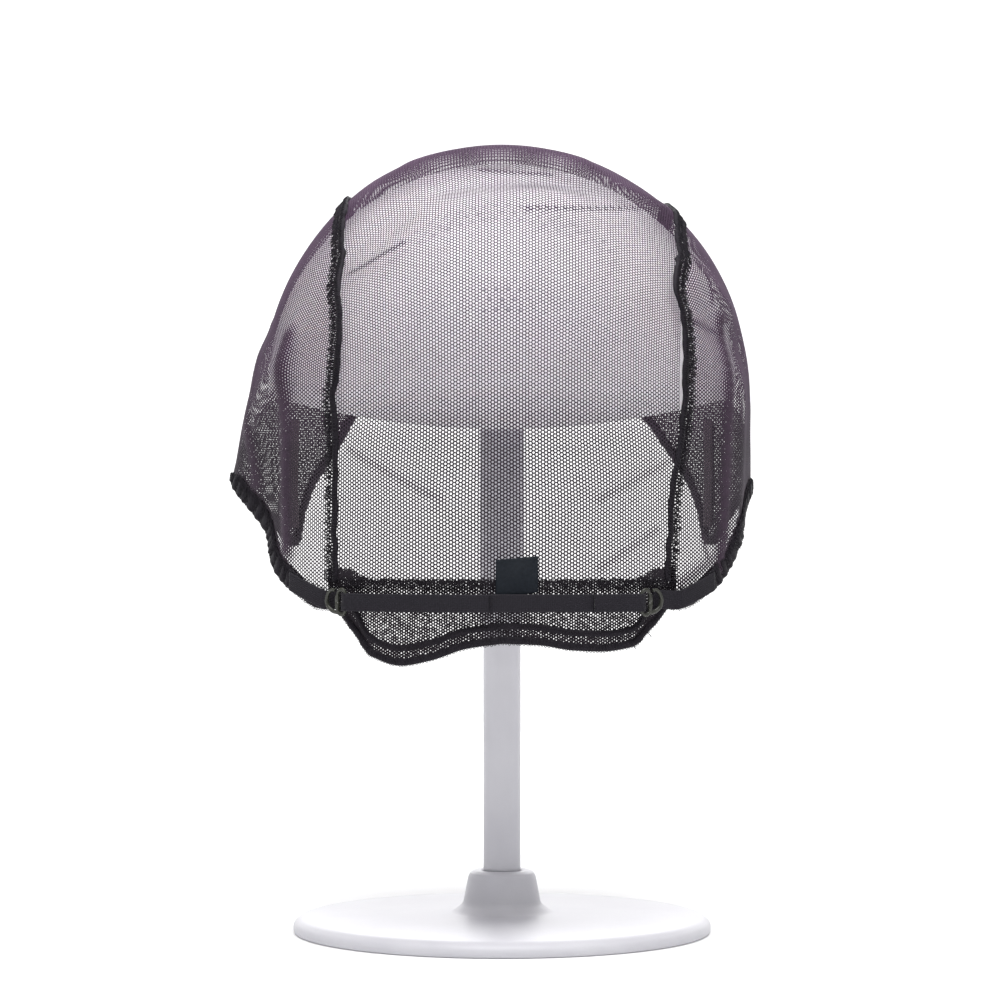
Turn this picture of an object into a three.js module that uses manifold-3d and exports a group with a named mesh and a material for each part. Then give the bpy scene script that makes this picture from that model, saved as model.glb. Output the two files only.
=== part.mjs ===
// Wig cap of dark stretch net on a plain white dome stand.
// Millimetres, +Z up. The origin is the underside of the stand's foot, on the pole's axis.
// The cap's front looks along +Y and its nape along -Y.
import * as THREE from "three";
import { mergeVertices } from "three/addons/utils/BufferGeometryUtils.js";
import Module from "manifold-3d";

const { PI, sin, cos, asin, atan2, sqrt, exp, hypot, min, max, abs, round } = Math;
const degree = PI / 180;

// Cap form
const capRadius = 88; // outer face of the crown and of the widest circle, the equator
const equatorHeight = 194.6; // the equator over the floor
const napeDrop = 93.6; // from the equator down to the lower lobes of the nape edge
const netWall = 1;
const clearance = 0.3; // between pieces that are sewn or fitted together
const seamReach = 0.6477 * capRadius; // from the middle of the cap to each panel seam
const bellCentre = 92 * degree; // the azimuth where the sides hang out most
const bellWidth = 18 * degree;
const foldRelief = 1.8; // height of a middling fold
const seamDriftReach = 30 * degree; // how far beside a seam the net's grain follows it

// Edge finishes
const bandTopDrop = 67.6; // from the equator down to the join of net and nape band
const bindingWall = 0.7;
const bindingDepth = 1.9; // how far a binding reaches over the cloth
const bindingSlack = 0.45; // between a binding's folds and the cloth's faces
const ruffleHeight = 0.9;
const seamWidth = 3;
const seamThickness = 1;
const elasticWidth = 1.6;
const elasticThickness = 0.8;
const elasticInset = 5; // from the nape edge up to the middle of the stitched elastic

// Strap, hooks, tape and label
const strapWidth = 6;
const strapThickness = 1;
const strapDrop = 74.1; // from the equator down to the strap's centre line
const strapOverlap = 4.3; // where the folded-back strap ends, left of the middle
const strapTail = 11; // length of the short fold at the right hook
const hookThickness = 1.2;
const hookHeight = 9.8;
const hookWidth = 5.2;
const hookBar = 1.4;
const hookSlotHeight = 7;
const hookArmWidth = 1.3;
const hookReachLeft = 55.9; // along the nape, from the middle to each hook's slot
const hookReachRight = 49;
const tapeWidth = 6.6;
const tapeThickness = 1;
const tapeGapLeft = 7.8; // from each hook's slot to the end of its tape
const tapeGapRight = 14.7;
const tapeLength = 18.4;
const tapeStartDrop = 0.7863 * napeDrop;
const tapeEndDrop = 0.7212 * napeDrop;
const labelWidth = 14;
const labelHeight = 11;
const labelCloth = 0.5;
const labelCentre = 4.9; // right of the middle
const labelDrop = 59; // from the equator down to the label's fold
const labelTilt = 0.09; // rise of its fold for each mm across

// Ear-tab stays
const stayWidth = 5;
const stayThickness = 1.2;
const stayTopDrop = 11;
const stayFootGap = 6.7; // from the stay's lower end to the tab's finished edge
const stayAzimuth = 116.3 * degree;
const casingWall = 0.5;
const casingOverrun = 1.2; // past the stay's upper end

// Stand
const domeWall = 1.6;
const domeSeatDent = 2.4; // the cap's back and left shoulder are pressed in this far, onto the dome
const crownStandOff = 6; // air between the dome's top and the cap's crown
const domeRimDrop = 2.6; // the dome's rim below the equator, at the sides
const domeBackDip = 15; // how much lower the rim is at the back
const holeDiameter = 1.7;
const holePitch = 4.1;
const holeRowGap = 3.7;
const poleTopDiameter = 16;
const poleDiameter = 13.4;
const poleShoulderHeight = 112;
const hubWall = 2;
const hubHeight = 34;
const hubFlareRadius = 26;
const baseDiameter = 150;
const baseThickness = 7;
const bossHeight = 22;
const bossWall = 5;
const bossFloor = 4;
const edgeBevel = 1.5;

// Grid steps
const crownColumns = 8;
const crownRows = 20;
const hangRows = 7;
const sideRows = 7;
const domeSteps = 7;
const domeSides = 24;

// How far the sides stand off the sphere. drop is a share of napeDrop, below the equator;
// left and right are shares of capRadius.
const sideBulge = [
  { drop: -0.95, left: 0, right: 0 },
  { drop: -0.52, left: -0.026, right: 0.01 },
  { drop: -0.25, left: -0.028, right: 0.01 },
  { drop: -0.12, left: 0.004, right: 0.013 },
  { drop: 0, left: 0.03, right: 0.015 },
  { drop: 0.08, left: 0.05, right: 0.018 },
  { drop: 0.17, left: 0.07, right: 0.017 },
  { drop: 0.26, left: 0.088, right: 0.018 },
  { drop: 0.37, left: 0.109, right: 0.018 },
  { drop: 0.46, left: 0.08, right: 0.01 },
  { drop: 0.62, left: 0.02, right: 0 },
  { drop: 1, left: 0, right: 0 },
];

// How far each panel seam lies from the middle, as a share of seamReach. along is negative below
// the equator at the nape, a share of napeDrop, and runs from 0 to 1 over the crown to the front.
const seamRows = [
  { along: -0.8, left: 1, right: 0.985 },
  { along: -0.4, left: 1.014, right: 1.03 },
  { along: -0.22, left: 1.02, right: 1.09 },
  { along: -0.04, left: 1.044, right: 1.127 },
  { along: 0.05, left: 1.01, right: 1.13 },
  { along: 0.12, left: 0.993, right: 1.11 },
  { along: 0.18, left: 1.012, right: 1.06 },
  { along: 0.26, left: 0.99, right: 1.085 },
  { along: 0.5, left: 0.98, right: 1.04 },
  { along: 1, left: 0.98, right: 0.975 },
];

// The finished lower edge of the cap, from the nape (0 degrees) round to the front (180).
// left and right are shares of napeDrop, below the equator.
const edgeRows = [
  { azimuth: 0, left: 0.936, right: 0.936 },
  { azimuth: 8, left: 0.955, right: 0.942 },
  { azimuth: 16, left: 0.998, right: 0.962 },
  { azimuth: 23, left: 1.018, right: 0.967 },
  { azimuth: 30, left: 0.985, right: 0.95 },
  { azimuth: 35, left: 0.87, right: 0.86 },
  { azimuth: 40, left: 0.79, right: 0.79 },
  { azimuth: 47, left: 0.786, right: 0.782 },
  { azimuth: 56, left: 0.754, right: 0.754 },
  { azimuth: 64, left: 0.685, right: 0.675 },
  { azimuth: 69, left: 0.592, right: 0.57 },
  { azimuth: 78, left: 0.462, right: 0.45 },
  { azimuth: 90, left: 0.35, right: 0.386 },
  { azimuth: 98, left: 0.405, right: 0.42 },
  { azimuth: 105, left: 0.466, right: 0.466 },
  { azimuth: 112, left: 0.55, right: 0.545 },
  { azimuth: 116.5, left: 0.606, right: 0.6 },
  { azimuth: 119.5, left: 0.606, right: 0.6 },
  { azimuth: 122.5, left: 0.48, right: 0.48 },
  { azimuth: 126, left: 0.38, right: 0.38 },
  { azimuth: 132, left: 0.268, right: 0.268 },
  { azimuth: 135.6, left: 0.199, right: 0.205 },
  { azimuth: 141, left: 0.085, right: 0.11 },
  { azimuth: 150, left: 0.017, right: 0.017 },
  { azimuth: 165, left: -0.036, right: -0.036 },
  { azimuth: 180, left: -0.058, right: -0.058 },
];

// Where the net of the side panels ends on the lace of the ear tabs, as shares of napeDrop.
const tabTopRows = [
  { azimuth: 90, left: 0.35, right: 0.386 },
  { azimuth: 92.5, left: 0.25, right: 0.27 },
  { azimuth: 97, left: 0.155, right: 0.155 },
  { azimuth: 103, left: 0.081, right: 0.081 },
  { azimuth: 111, left: 0.015, right: 0.015 },
  { azimuth: 120, left: -0.015, right: -0.015 },
  { azimuth: 127, left: 0.01, right: 0.01 },
  { azimuth: 133, left: 0.045, right: 0.045 },
  { azimuth: 141, left: 0.04, right: 0.06 },
];

// Folds and dents between two places. azimuth is in degrees, negative on the left; drop is a share
// of napeDrop, width a share of capRadius and height a share of foldRelief, negative for a dent.
const folds = [
  { azimuth1: -30, drop1: 0.05, azimuth2: 30, drop2: 0.05, width: 0.42, height: -1.5 },
  { azimuth1: -50, drop1: -1.03, azimuth2: 45, drop2: -1.05, width: 0.1, height: 1 },
  { azimuth1: -20, drop1: -0.86, azimuth2: 30, drop2: -0.84, width: 0.09, height: -1.3 },
  { azimuth1: 10, drop1: -0.77, azimuth2: 66, drop2: -0.73, width: 0.1, height: 1.1 },
  { azimuth1: -42, drop1: -0.5, azimuth2: -33, drop2: -0.7, width: 0.11, height: -1.4 },
  { azimuth1: 61, drop1: -0.22, azimuth2: 80, drop2: -0.16, width: 0.1, height: -1.2 },
  { azimuth1: 58, drop1: -0.42, azimuth2: 71, drop2: -0.3, width: 0.1, height: 1.1 },
  { azimuth1: -62, drop1: -0.06, azimuth2: -78, drop2: 0.16, width: 0.11, height: 1.5 },
  { azimuth1: -76, drop1: 0.2, azimuth2: -70, drop2: 0.5, width: 0.1, height: -1.3 },
  { azimuth1: 70, drop1: 0.04, azimuth2: 66, drop2: 0.55, width: 0.1, height: 1.3 },
  { azimuth1: -32, drop1: 0.25, azimuth2: -12, drop2: 0.44, width: 0.12, height: 0.8 },
  { azimuth1: 36, drop1: 0.22, azimuth2: 14, drop2: 0.46, width: 0.12, height: 0.8 },
  { azimuth1: -150, drop1: -0.3, azimuth2: -165, drop2: -0.7, width: 0.13, height: 1.3 },
  { azimuth1: 150, drop1: -0.25, azimuth2: 170, drop2: -0.66, width: 0.13, height: -1.2 },
  { azimuth1: 110, drop1: -0.2, azimuth2: 122, drop2: -0.5, width: 0.12, height: 1.2 },
  { azimuth1: -112, drop1: -0.15, azimuth2: -124, drop2: -0.45, width: 0.12, height: -1.2 },
];

// The two arcs of holes in the dome. rise is the height angle at the middle, reach is how far each
// arc runs to both sides, and sag is how much its ends come down; all in degrees.
const holeArcs = [
  { rise: 46, reach: 34, sag: 14 },
  { rise: 19.6, reach: 25, sag: 8 },
];

// The hook's arm from its slot ring, as shares of hookHeight: out is away from the strap.
const hookArm = [
  { out: 0.16, up: -0.36 },
  { out: 0.38, up: -0.33 },
  { out: 0.6, up: -0.18 },
  { out: 0.68, up: 0.06 },
  { out: 0.6, up: 0.3 },
  { out: 0.44, up: 0.44 },
  { out: 0.3, up: 0.4 },
];

const wasm = await Module();
wasm.setup();

// A smooth curve through the rows of a table that neither over- nor undershoots them.
function lookUp(rows, key, column, at) {
  const last = rows.length - 1;
  if (at <= rows[0][key]) return rows[0][column];
  if (at >= rows[last][key]) return rows[last][column];
  const slope = (n) => (rows[n + 1][column] - rows[n][column]) / (rows[n + 1][key] - rows[n][key]);
  const tangent = (n) => {
    if (n === 0 || n === last) return slope(min(n, last - 1));
    const before = slope(n - 1);
    const after = slope(n);
    return before * after <= 0 ? 0 : (2 * before * after) / (before + after);
  };
  let n = 0;
  while (at > rows[n + 1][key]) n++;
  const span = rows[n + 1][key] - rows[n][key];
  const t = (at - rows[n][key]) / span;
  const blend = t * t * (3 - 2 * t);
  return (
    rows[n][column] * (1 - blend) +
    rows[n + 1][column] * blend +
    span * t * (1 - t) * ((1 - t) * tangent(n) - t * tangent(n + 1))
  );
}

const sideName = (azimuth) => (azimuth < 0 ? "left" : "right");

// The same direction between -180 and 180 degrees.
function turned(azimuth) {
  return azimuth > PI ? azimuth - 2 * PI : azimuth < -PI ? azimuth + 2 * PI : azimuth;
}

// The plain sphere and cylinder that the cap hangs on, without its folds.
function formPoint(azimuth, drop, radius) {
  const rise = max(0, -drop) / capRadius;
  const level = equatorHeight + (drop < 0 ? radius * sin(rise) : -drop);
  const reach = radius * cos(rise);
  return new THREE.Vector3(reach * sin(azimuth), -reach * cos(azimuth), level);
}

const foldLines = folds.map((fold) => ({
  start: formPoint(fold.azimuth1 * degree, fold.drop1 * napeDrop, capRadius),
  end: formPoint(fold.azimuth2 * degree, fold.drop2 * napeDrop, capRadius),
  width: fold.width * capRadius,
  height: fold.height * foldRelief,
}));

function foldHeight(point) {
  const nearest = new THREE.Vector3();
  let height = 0;
  for (const fold of foldLines) {
    new THREE.Line3(fold.start, fold.end).closestPointToPoint(point, true, nearest);
    height += fold.height * exp(-((nearest.distanceTo(point) / fold.width) ** 2));
  }
  return height;
}

// A point of the cap's outer face, or lift over it. azimuth runs from the nape's middle (0),
// drop is the length down from the equator and is negative on the crown.
function capPoint(azimuth, drop, lift = 0) {
  const side = turned(azimuth);
  const bell = exp(-(((abs(side) - bellCentre) / bellWidth) ** 2));
  const bulge = lookUp(sideBulge, "drop", sideName(side), drop / napeDrop) * bell * capRadius;
  const fold = foldHeight(formPoint(side, drop, capRadius));
  return formPoint(side, drop, capRadius + max(bulge + fold, -domeSeatDent) + lift);
}

function lowerEdge(azimuth) {
  const side = turned(azimuth);
  return lookUp(edgeRows, "azimuth", sideName(side), abs(side) / degree) * napeDrop;
}

const clothEdge = (azimuth) => lowerEdge(azimuth) - bindingWall - clearance;

// The azimuth and drop of a place on the crown: across from the middle, swing round from the nape
// side of the equator (0) over the crown to its front side (PI).
function crownPlace(across, swing) {
  const ring = sqrt(capRadius ** 2 - across ** 2);
  return {
    azimuth: atan2(across, ring * cos(swing)),
    drop: -asin(min(1, (ring * sin(swing)) / capRadius)) * capRadius,
  };
}

function bodyFrom(points, triangles) {
  const geometry = new THREE.BufferGeometry().setFromPoints(points);
  geometry.setIndex(triangles.flat());
  return geometry;
}

// A cloth wall between two grids of points, closed round its four edges.
function clothWall(rows, columns, pointAt) {
  const points = [];
  for (const lift of [0, -netWall])
    for (let row = 0; row <= rows; row++)
      for (let column = 0; column <= columns; column++) points.push(pointAt(row / rows, column, lift));
  const inner = (rows + 1) * (columns + 1);
  const at = (row, column) => row * (columns + 1) + column;
  const triangles = [];
  const quad = (a, b, c, d) => triangles.push([a, b, c], [a, c, d]);
  for (let row = 0; row < rows; row++)
    for (let column = 0; column < columns; column++) {
      const corners = [at(row, column), at(row, column + 1), at(row + 1, column + 1), at(row + 1, column)];
      const [a, b, c, d] = corners;
      quad(a, d, c, b);
      quad(inner + a, inner + b, inner + c, inner + d);
    }
  const edge = (a, b) => quad(a, b, inner + b, inner + a);
  for (let column = 0; column < columns; column++) {
    edge(at(0, column), at(0, column + 1));
    edge(at(rows, column + 1), at(rows, column));
  }
  for (let row = 0; row < rows; row++) {
    edge(at(row + 1, 0), at(row, 0));
    edge(at(row, columns), at(row + 1, columns));
  }
  return bodyFrom(points, triangles);
}

// A solid through a row of alike sections, each a ring of points that follows the same profile.
function loft(profile, sections) {
  const sides = profile.length;
  const triangles = [];
  for (let station = 0; station + 1 < sections.length; station++)
    for (let n = 0; n < sides; n++) {
      const next = (n + 1) % sides;
      const [a, b] = [station * sides + n, station * sides + next];
      triangles.push([a, b, b + sides], [a, b + sides, a + sides]);
    }
  const cap = THREE.ShapeUtils.triangulateShape(profile, []);
  const end = (sections.length - 1) * sides;
  for (const [a, b, c] of cap) triangles.push([a, c, b], [end + a, end + b, end + c]);
  return bodyFrom(sections.flat(), triangles);
}

function solidFrom(geometry) {
  const bare = geometry.clone();
  bare.deleteAttribute("normal");
  bare.deleteAttribute("uv");
  const merged = mergeVertices(bare);
  const vertProperties = new Float32Array(merged.attributes.position.array);
  const triVerts = new Uint32Array(merged.index.array);
  return new wasm.Manifold(new wasm.Mesh({ numProp: 3, vertProperties, triVerts }));
}

function geometryFrom(solid) {
  const mesh = solid.getMesh();
  const geometry = new THREE.BufferGeometry();
  geometry.setAttribute("position", new THREE.BufferAttribute(mesh.vertProperties, 3));
  geometry.setIndex(new THREE.BufferAttribute(mesh.triVerts, 1));
  return geometry;
}

// The same body with its faces outward, whichever way its rings were wound.
function facingOut(geometry) {
  const position = geometry.attributes.position;
  const index = geometry.index;
  const [a, b, c] = [new THREE.Vector3(), new THREE.Vector3(), new THREE.Vector3()];
  let volume = 0;
  for (let n = 0; n < index.count; n += 3) {
    a.fromBufferAttribute(position, index.getX(n));
    b.fromBufferAttribute(position, index.getX(n + 1));
    c.fromBufferAttribute(position, index.getX(n + 2));
    volume += a.dot(b.cross(c));
  }
  if (volume < 0)
    for (let n = 0; n < index.count; n += 3) {
      const kept = index.getX(n + 1);
      index.setX(n + 1, index.getX(n + 2));
      index.setX(n + 2, kept);
    }
  return geometry;
}

// Panels
function seamAcross(side, along) {
  return seamReach * lookUp(seamRows, "along", sideName(side), along);
}

// The azimuth of a seam's line below the equator, with an offset across it.
function hangingSeam(side, drop, offset = 0) {
  return asin((seamAcross(side, -drop / napeDrop) + offset) / capRadius);
}

// A place between the two seams below the nape's equator: share runs from -1, on the left, to 1.
function napePlace(share, drop) {
  const reach = seamAcross(share, -drop / napeDrop) - clearance / 2;
  return { azimuth: asin((share * reach) / capRadius), drop };
}

// Rows that lie closer together toward the lower edge, the more the larger crowding is.
const towardFoot = (share, crowding = 1.4) => 1 - (1 - share) ** crowding;

function crownPanel() {
  const hairlineRise = abs(lowerEdge(PI));
  const rows = hangRows + crownRows + 1;
  return clothWall(rows, crownColumns, (share, column, lift) => {
    const acrossShare = (2 * column) / crownColumns - 1;
    const row = round(share * rows);
    if (row <= hangRows) {
      const place = napePlace(acrossShare, bandTopDrop * (1 - row / hangRows));
      return capPoint(place.azimuth, place.drop, lift);
    }
    if (row === rows) {
      const place = frontPlace(acrossShare);
      return capPoint(place.azimuth, place.drop, lift);
    }
    const along = (row - hangRows) / crownRows;
    const across = acrossShare * (seamAcross(acrossShare, along) - clearance / 2);
    const shortening = (2 * hairlineRise + bindingDepth) * (1 - acrossShare ** 2);
    const place = crownPlace(across, (PI - shortening / capRadius) * along);
    return capPoint(place.azimuth, place.drop, lift);
  });
}

function frontPlace(acrossShare) {
  const reach = seamAcross(acrossShare, 1) - clearance / 2;
  const azimuth = PI - asin((acrossShare * reach) / capRadius);
  return { azimuth, drop: clothEdge(azimuth) };
}

// The top of each column of a side panel, on its seam.
function sideColumns(side) {
  return Array.from({ length: crownRows + 1 }, (_, column) => {
    const across = seamAcross(side, column / crownRows) + clearance / 2;
    return crownPlace(across, (PI * column) / crownRows);
  });
}

const columnsOf = { left: sideColumns(-1), right: sideColumns(1) };
const tabStart = tabTopRows[0].azimuth * degree;

function panelFoot(side, azimuth) {
  if (azimuth <= tabStart) return clothEdge(side * azimuth);
  return lookUp(tabTopRows, "azimuth", sideName(side), azimuth / degree) * napeDrop;
}

// A column leans with the nape's end of its seam, the more the nearer it is.
function columnAzimuth(side, column, drop) {
  const columns = columnsOf[sideName(side)];
  const { azimuth } = columns[column];
  if (drop <= 0) return azimuth;
  const drift = hangingSeam(side, drop, clearance / 2) - hangingSeam(side, 0, clearance / 2);
  return azimuth + drift * max(0, 1 - (azimuth - columns[0].azimuth) / seamDriftReach);
}

function columnFoot(side, column) {
  let drop = panelFoot(side, columnsOf[sideName(side)][column].azimuth);
  for (let round = 0; round < 3; round++) drop = panelFoot(side, columnAzimuth(side, column, drop));
  return { azimuth: columnAzimuth(side, column, drop), drop };
}

// The panel's foot between its columns, where its edge is straight.
function straightFoot(side, azimuth) {
  const columns = columnsOf[sideName(side)];
  const next = max(1, columns.findIndex((column) => column.azimuth >= azimuth));
  const [a, b] = [columns[next - 1].azimuth, columns[next].azimuth];
  const share = (azimuth - a) / (b - a);
  return panelFoot(side, a) * (1 - share) + panelFoot(side, b) * share;
}

function sidePanel(side) {
  const columns = columnsOf[sideName(side)];
  return clothWall(sideRows, crownRows, (share, column, lift) => {
    const top = columns[column].drop;
    const foot = columnFoot(side, column);
    const fromSeam = (foot.azimuth - columnFoot(side, 0).azimuth) / seamDriftReach;
    const drop = top + (foot.drop - top) * towardFoot(share, 1 + 0.4 * min(1, fromSeam));
    return capPoint(side * columnAzimuth(side, column, drop), drop, lift);
  });
}

const hemInset = 1.4 * degree; // the ear hem starts this far from its seam
const napeColumns = 24;
const napeShares = Array.from({ length: napeColumns + 1 }, (_, n) => (2 * n) / napeColumns - 1);

function napeFoot(share) {
  const drop = clothEdge(napePlace(share, bandTopDrop).azimuth);
  return napePlace(share, drop);
}

function napeBand() {
  const top = bandTopDrop + clearance;
  return clothWall(3, napeColumns, (share, column, lift) => {
    const foot = napeFoot(napeShares[column]);
    const place = napePlace(napeShares[column], top + (foot.drop - top) * share);
    return capPoint(place.azimuth, place.drop, lift);
  });
}

const tabColumns = 16;
const tabInset = 3.4 * degree; // the tab stops this far from the front end of the seam

// The tab's upper and lower edge at a share of its length, from the ear to the front.
function tabPlace(side, share) {
  const start = tabStart + tabInset / 2;
  const end = columnsOf[sideName(side)][crownRows].azimuth - tabInset;
  const azimuth = start + (end - start) * share;
  const top = straightFoot(side, azimuth) + 2 * clearance;
  return { azimuth: side * azimuth, top, drop: max(clothEdge(side * azimuth), top + bindingDepth) };
}

function earTab(side) {
  return clothWall(5, tabColumns, (share, column, lift) => {
    const { azimuth, top, drop } = tabPlace(side, column / tabColumns);
    return capPoint(azimuth, top + (drop - top) * towardFoot(share), lift);
  });
}

// Seams
function seam(side) {
  const profile = [
    new THREE.Vector2(-seamWidth / 2, clearance),
    new THREE.Vector2(seamWidth / 2, clearance),
    new THREE.Vector2(seamWidth / 2, clearance + seamThickness),
    new THREE.Vector2(-seamWidth / 2, clearance + seamThickness),
  ];
  const sections = [];
  for (let row = 0; row <= hangRows; row++)
    sections.push(
      profile.map(({ x, y }) => {
        const drop = (bandTopDrop - clearance) * (1 - row / hangRows);
        return capPoint(side * hangingSeam(side, drop, x), drop, y);
      }),
    );
  for (let row = 1; row <= crownRows; row++)
    sections.push(
      profile.map(({ x, y }) => {
        const place = crownPlace(seamAcross(side, row / crownRows) + x, (PI * row) / crownRows);
        return capPoint(side * place.azimuth, place.drop, y);
      }),
    );
  return loft(profile, sections);
}

// A binding folded over a cloth edge. The places are the edge's azimuths and drops in order, and
// ruffle is how far its free fold swings in and out between two of them.
function binding(places, ruffle = 0) {
  const fold = clearance + bindingWall;
  const outside = bindingSlack + bindingWall;
  const inside = -netWall - outside;
  const profile = [
    new THREE.Vector2(-bindingDepth, outside),
    new THREE.Vector2(-bindingDepth, bindingSlack),
    new THREE.Vector2(clearance, bindingSlack),
    new THREE.Vector2(clearance, -netWall - bindingSlack),
    new THREE.Vector2(-bindingDepth, -netWall - bindingSlack),
    new THREE.Vector2(-bindingDepth, inside),
    new THREE.Vector2(fold, inside),
    new THREE.Vector2(fold, outside),
  ];
  const last = places.length - 1;
  const sections = places.map(({ azimuth, drop }, n) => {
    const before = places[max(0, n - 1)];
    const after = places[min(last, n + 1)];
    const along = (after.azimuth - before.azimuth) * capRadius;
    const down = after.drop - before.drop;
    const length = hypot(along, down);
    return profile.map(({ x, y }) =>
      capPoint(azimuth - (x * down) / length / capRadius, drop + (x * along) / length, y),
    );
  });
  if (!ruffle) return loft(profile, sections);
  const ruffled = [];
  sections.forEach((section, n) => {
    ruffled.push(section);
    if (n === last) return;
    const middle = section.map((point, k) => point.clone().lerp(sections[n + 1][k], 0.5));
    const outward = middle[7].clone().sub(middle[6]).normalize();
    const swing = n % 2 ? ruffle : -ruffle;
    middle[6].addScaledVector(outward, min(swing, 0));
    middle[7].addScaledVector(outward, max(swing, 0));
    ruffled.push(middle);
  });
  return loft(profile, ruffled);
}

function napeBinding() {
  return binding(napeShares.map(napeFoot));
}

function earHem(side) {
  const places = [];
  columnsOf[sideName(side)].forEach((column, n) => {
    const { azimuth, drop } = columnFoot(side, n);
    if (column.azimuth > tabStart || azimuth < columnFoot(side, 0).azimuth + hemInset) return;
    places.push({ azimuth: side * azimuth, drop });
  });
  if (side < 0) places.reverse();
  return binding(places, ruffleHeight);
}

function tabBinding(side) {
  const places = Array.from({ length: tabColumns + 1 }, (_, n) => tabPlace(side, n / tabColumns));
  if (side < 0) places.reverse();
  return binding(places);
}

function frontBinding() {
  const places = [];
  for (let column = crownColumns; column >= 0; column--)
    places.push(frontPlace((2 * column) / crownColumns - 1));
  return binding(places);
}

// A flat strip that lies on the cap: each place has an azimuth, a drop and a lift of its middle,
// and the strip turns with the path, so it can fold back over itself.
function strip(places, width, thickness) {
  const last = places.length - 1;
  const profile = [
    new THREE.Vector2(-width / 2, thickness / 2),
    new THREE.Vector2(-width / 2, -thickness / 2),
    new THREE.Vector2(width / 2, -thickness / 2),
    new THREE.Vector2(width / 2, thickness / 2),
  ];
  const sections = places.map(({ azimuth, drop, lift }, n) => {
    const before = places[max(0, n - 1)];
    const after = places[min(last, n + 1)];
    const along = (after.azimuth - before.azimuth) * capRadius;
    const up = after.lift - before.lift;
    const length = hypot(along, up);
    return profile.map(({ x, y }) =>
      capPoint(azimuth - (y * up) / length / capRadius, drop + x, lift + (y * along) / length),
    );
  });
  return loft(profile, sections);
}

// The strap lies on the nape band, goes through each hook's slot round its inner bar and comes
// back over itself.
const strapSeat = bindingSlack + bindingWall + clearance;
const strapLift = strapSeat + strapThickness / 2;
const barLift = strapSeat + strapThickness + 1.5 * clearance + hookThickness / 2;
const foldRadius = barLift - strapLift;
const doubledLift = strapLift + strapThickness + clearance;
const slotOffset = hookWidth / 2 - hookBar / 2;

function strapPlace(along, lift) {
  return { azimuth: along / capRadius, drop: strapDrop, lift };
}

function strapFold(side, reach) {
  const bar = reach - slotOffset;
  const places = [];
  for (let step = 0; step <= 6; step++) {
    const angle = (PI * step) / 6;
    places.push(strapPlace(side * (bar + foldRadius * sin(angle)), barLift - foldRadius * cos(angle)));
  }
  places.push(strapPlace(side * (bar - hookBar), barLift + foldRadius));
  places.push(strapPlace(side * (bar - 4 * hookBar), doubledLift));
  return places;
}

function napeStrap() {
  const leftFold = strapFold(-1, hookReachLeft).reverse();
  const rightFold = strapFold(1, hookReachRight);
  const places = [];
  const topEnd = leftFold[0].azimuth * capRadius;
  for (let step = 0; step < 5; step++)
    places.push(strapPlace(-strapOverlap + (topEnd + strapOverlap) * (step / 5), doubledLift));
  places.push(...leftFold);
  const start = leftFold[leftFold.length - 1].azimuth * capRadius;
  const stop = rightFold[0].azimuth * capRadius;
  for (let step = 1; step < 12; step++)
    places.push(strapPlace(start + (stop - start) * (step / 12), strapLift));
  places.push(...rightFold);
  const tail = rightFold[rightFold.length - 1].azimuth * capRadius;
  places.push(strapPlace(tail - strapTail, doubledLift));
  return strip(places, strapWidth, strapThickness);
}

// The looped tape that the hooks catch in, sewn over the ear hem.
function loopTape(side) {
  const start = side < 0 ? hookReachLeft + tapeGapLeft : hookReachRight + tapeGapRight;
  const places = [];
  for (let step = 0; step <= 6; step++) {
    const share = step / 6;
    places.push({
      azimuth: (side * (start + tapeLength * share)) / capRadius,
      drop: tapeStartDrop + (tapeEndDrop - tapeStartDrop) * share,
      lift: strapSeat + ruffleHeight + tapeThickness / 2,
    });
  }
  return strip(places, tapeWidth, tapeThickness);
}

function napeElastic() {
  const places = napeShares.slice(3, -3).map((share) => {
    const { azimuth, drop } = napeFoot(share);
    return { azimuth, drop: drop - elasticInset, lift: clearance + elasticThickness / 2 };
  });
  return strip(places, elasticWidth, elasticThickness);
}

// The label is one satin ribbon folded at its top, with both ends caught under the strap's edge.
function label() {
  const layer = labelCloth;
  const gap = clearance;
  const low = clearance;
  const profile = [
    new THREE.Vector2(0, low),
    new THREE.Vector2(labelHeight, low),
    new THREE.Vector2(labelHeight, layer + low),
    new THREE.Vector2(layer, layer + low),
    new THREE.Vector2(layer, layer + gap + low),
    new THREE.Vector2(labelHeight, layer + gap + low),
    new THREE.Vector2(labelHeight, 2 * layer + gap + low),
    new THREE.Vector2(0, 2 * layer + gap + low),
  ];
  const sections = [-1, -0.5, 0, 0.5, 1].map((share) => {
    const across = (share * labelWidth) / 2;
    return profile.map(({ x, y }) =>
      capPoint((labelCentre + across) / capRadius, labelDrop - across * labelTilt + x, y),
    );
  });
  return loft(profile, sections);
}

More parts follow.
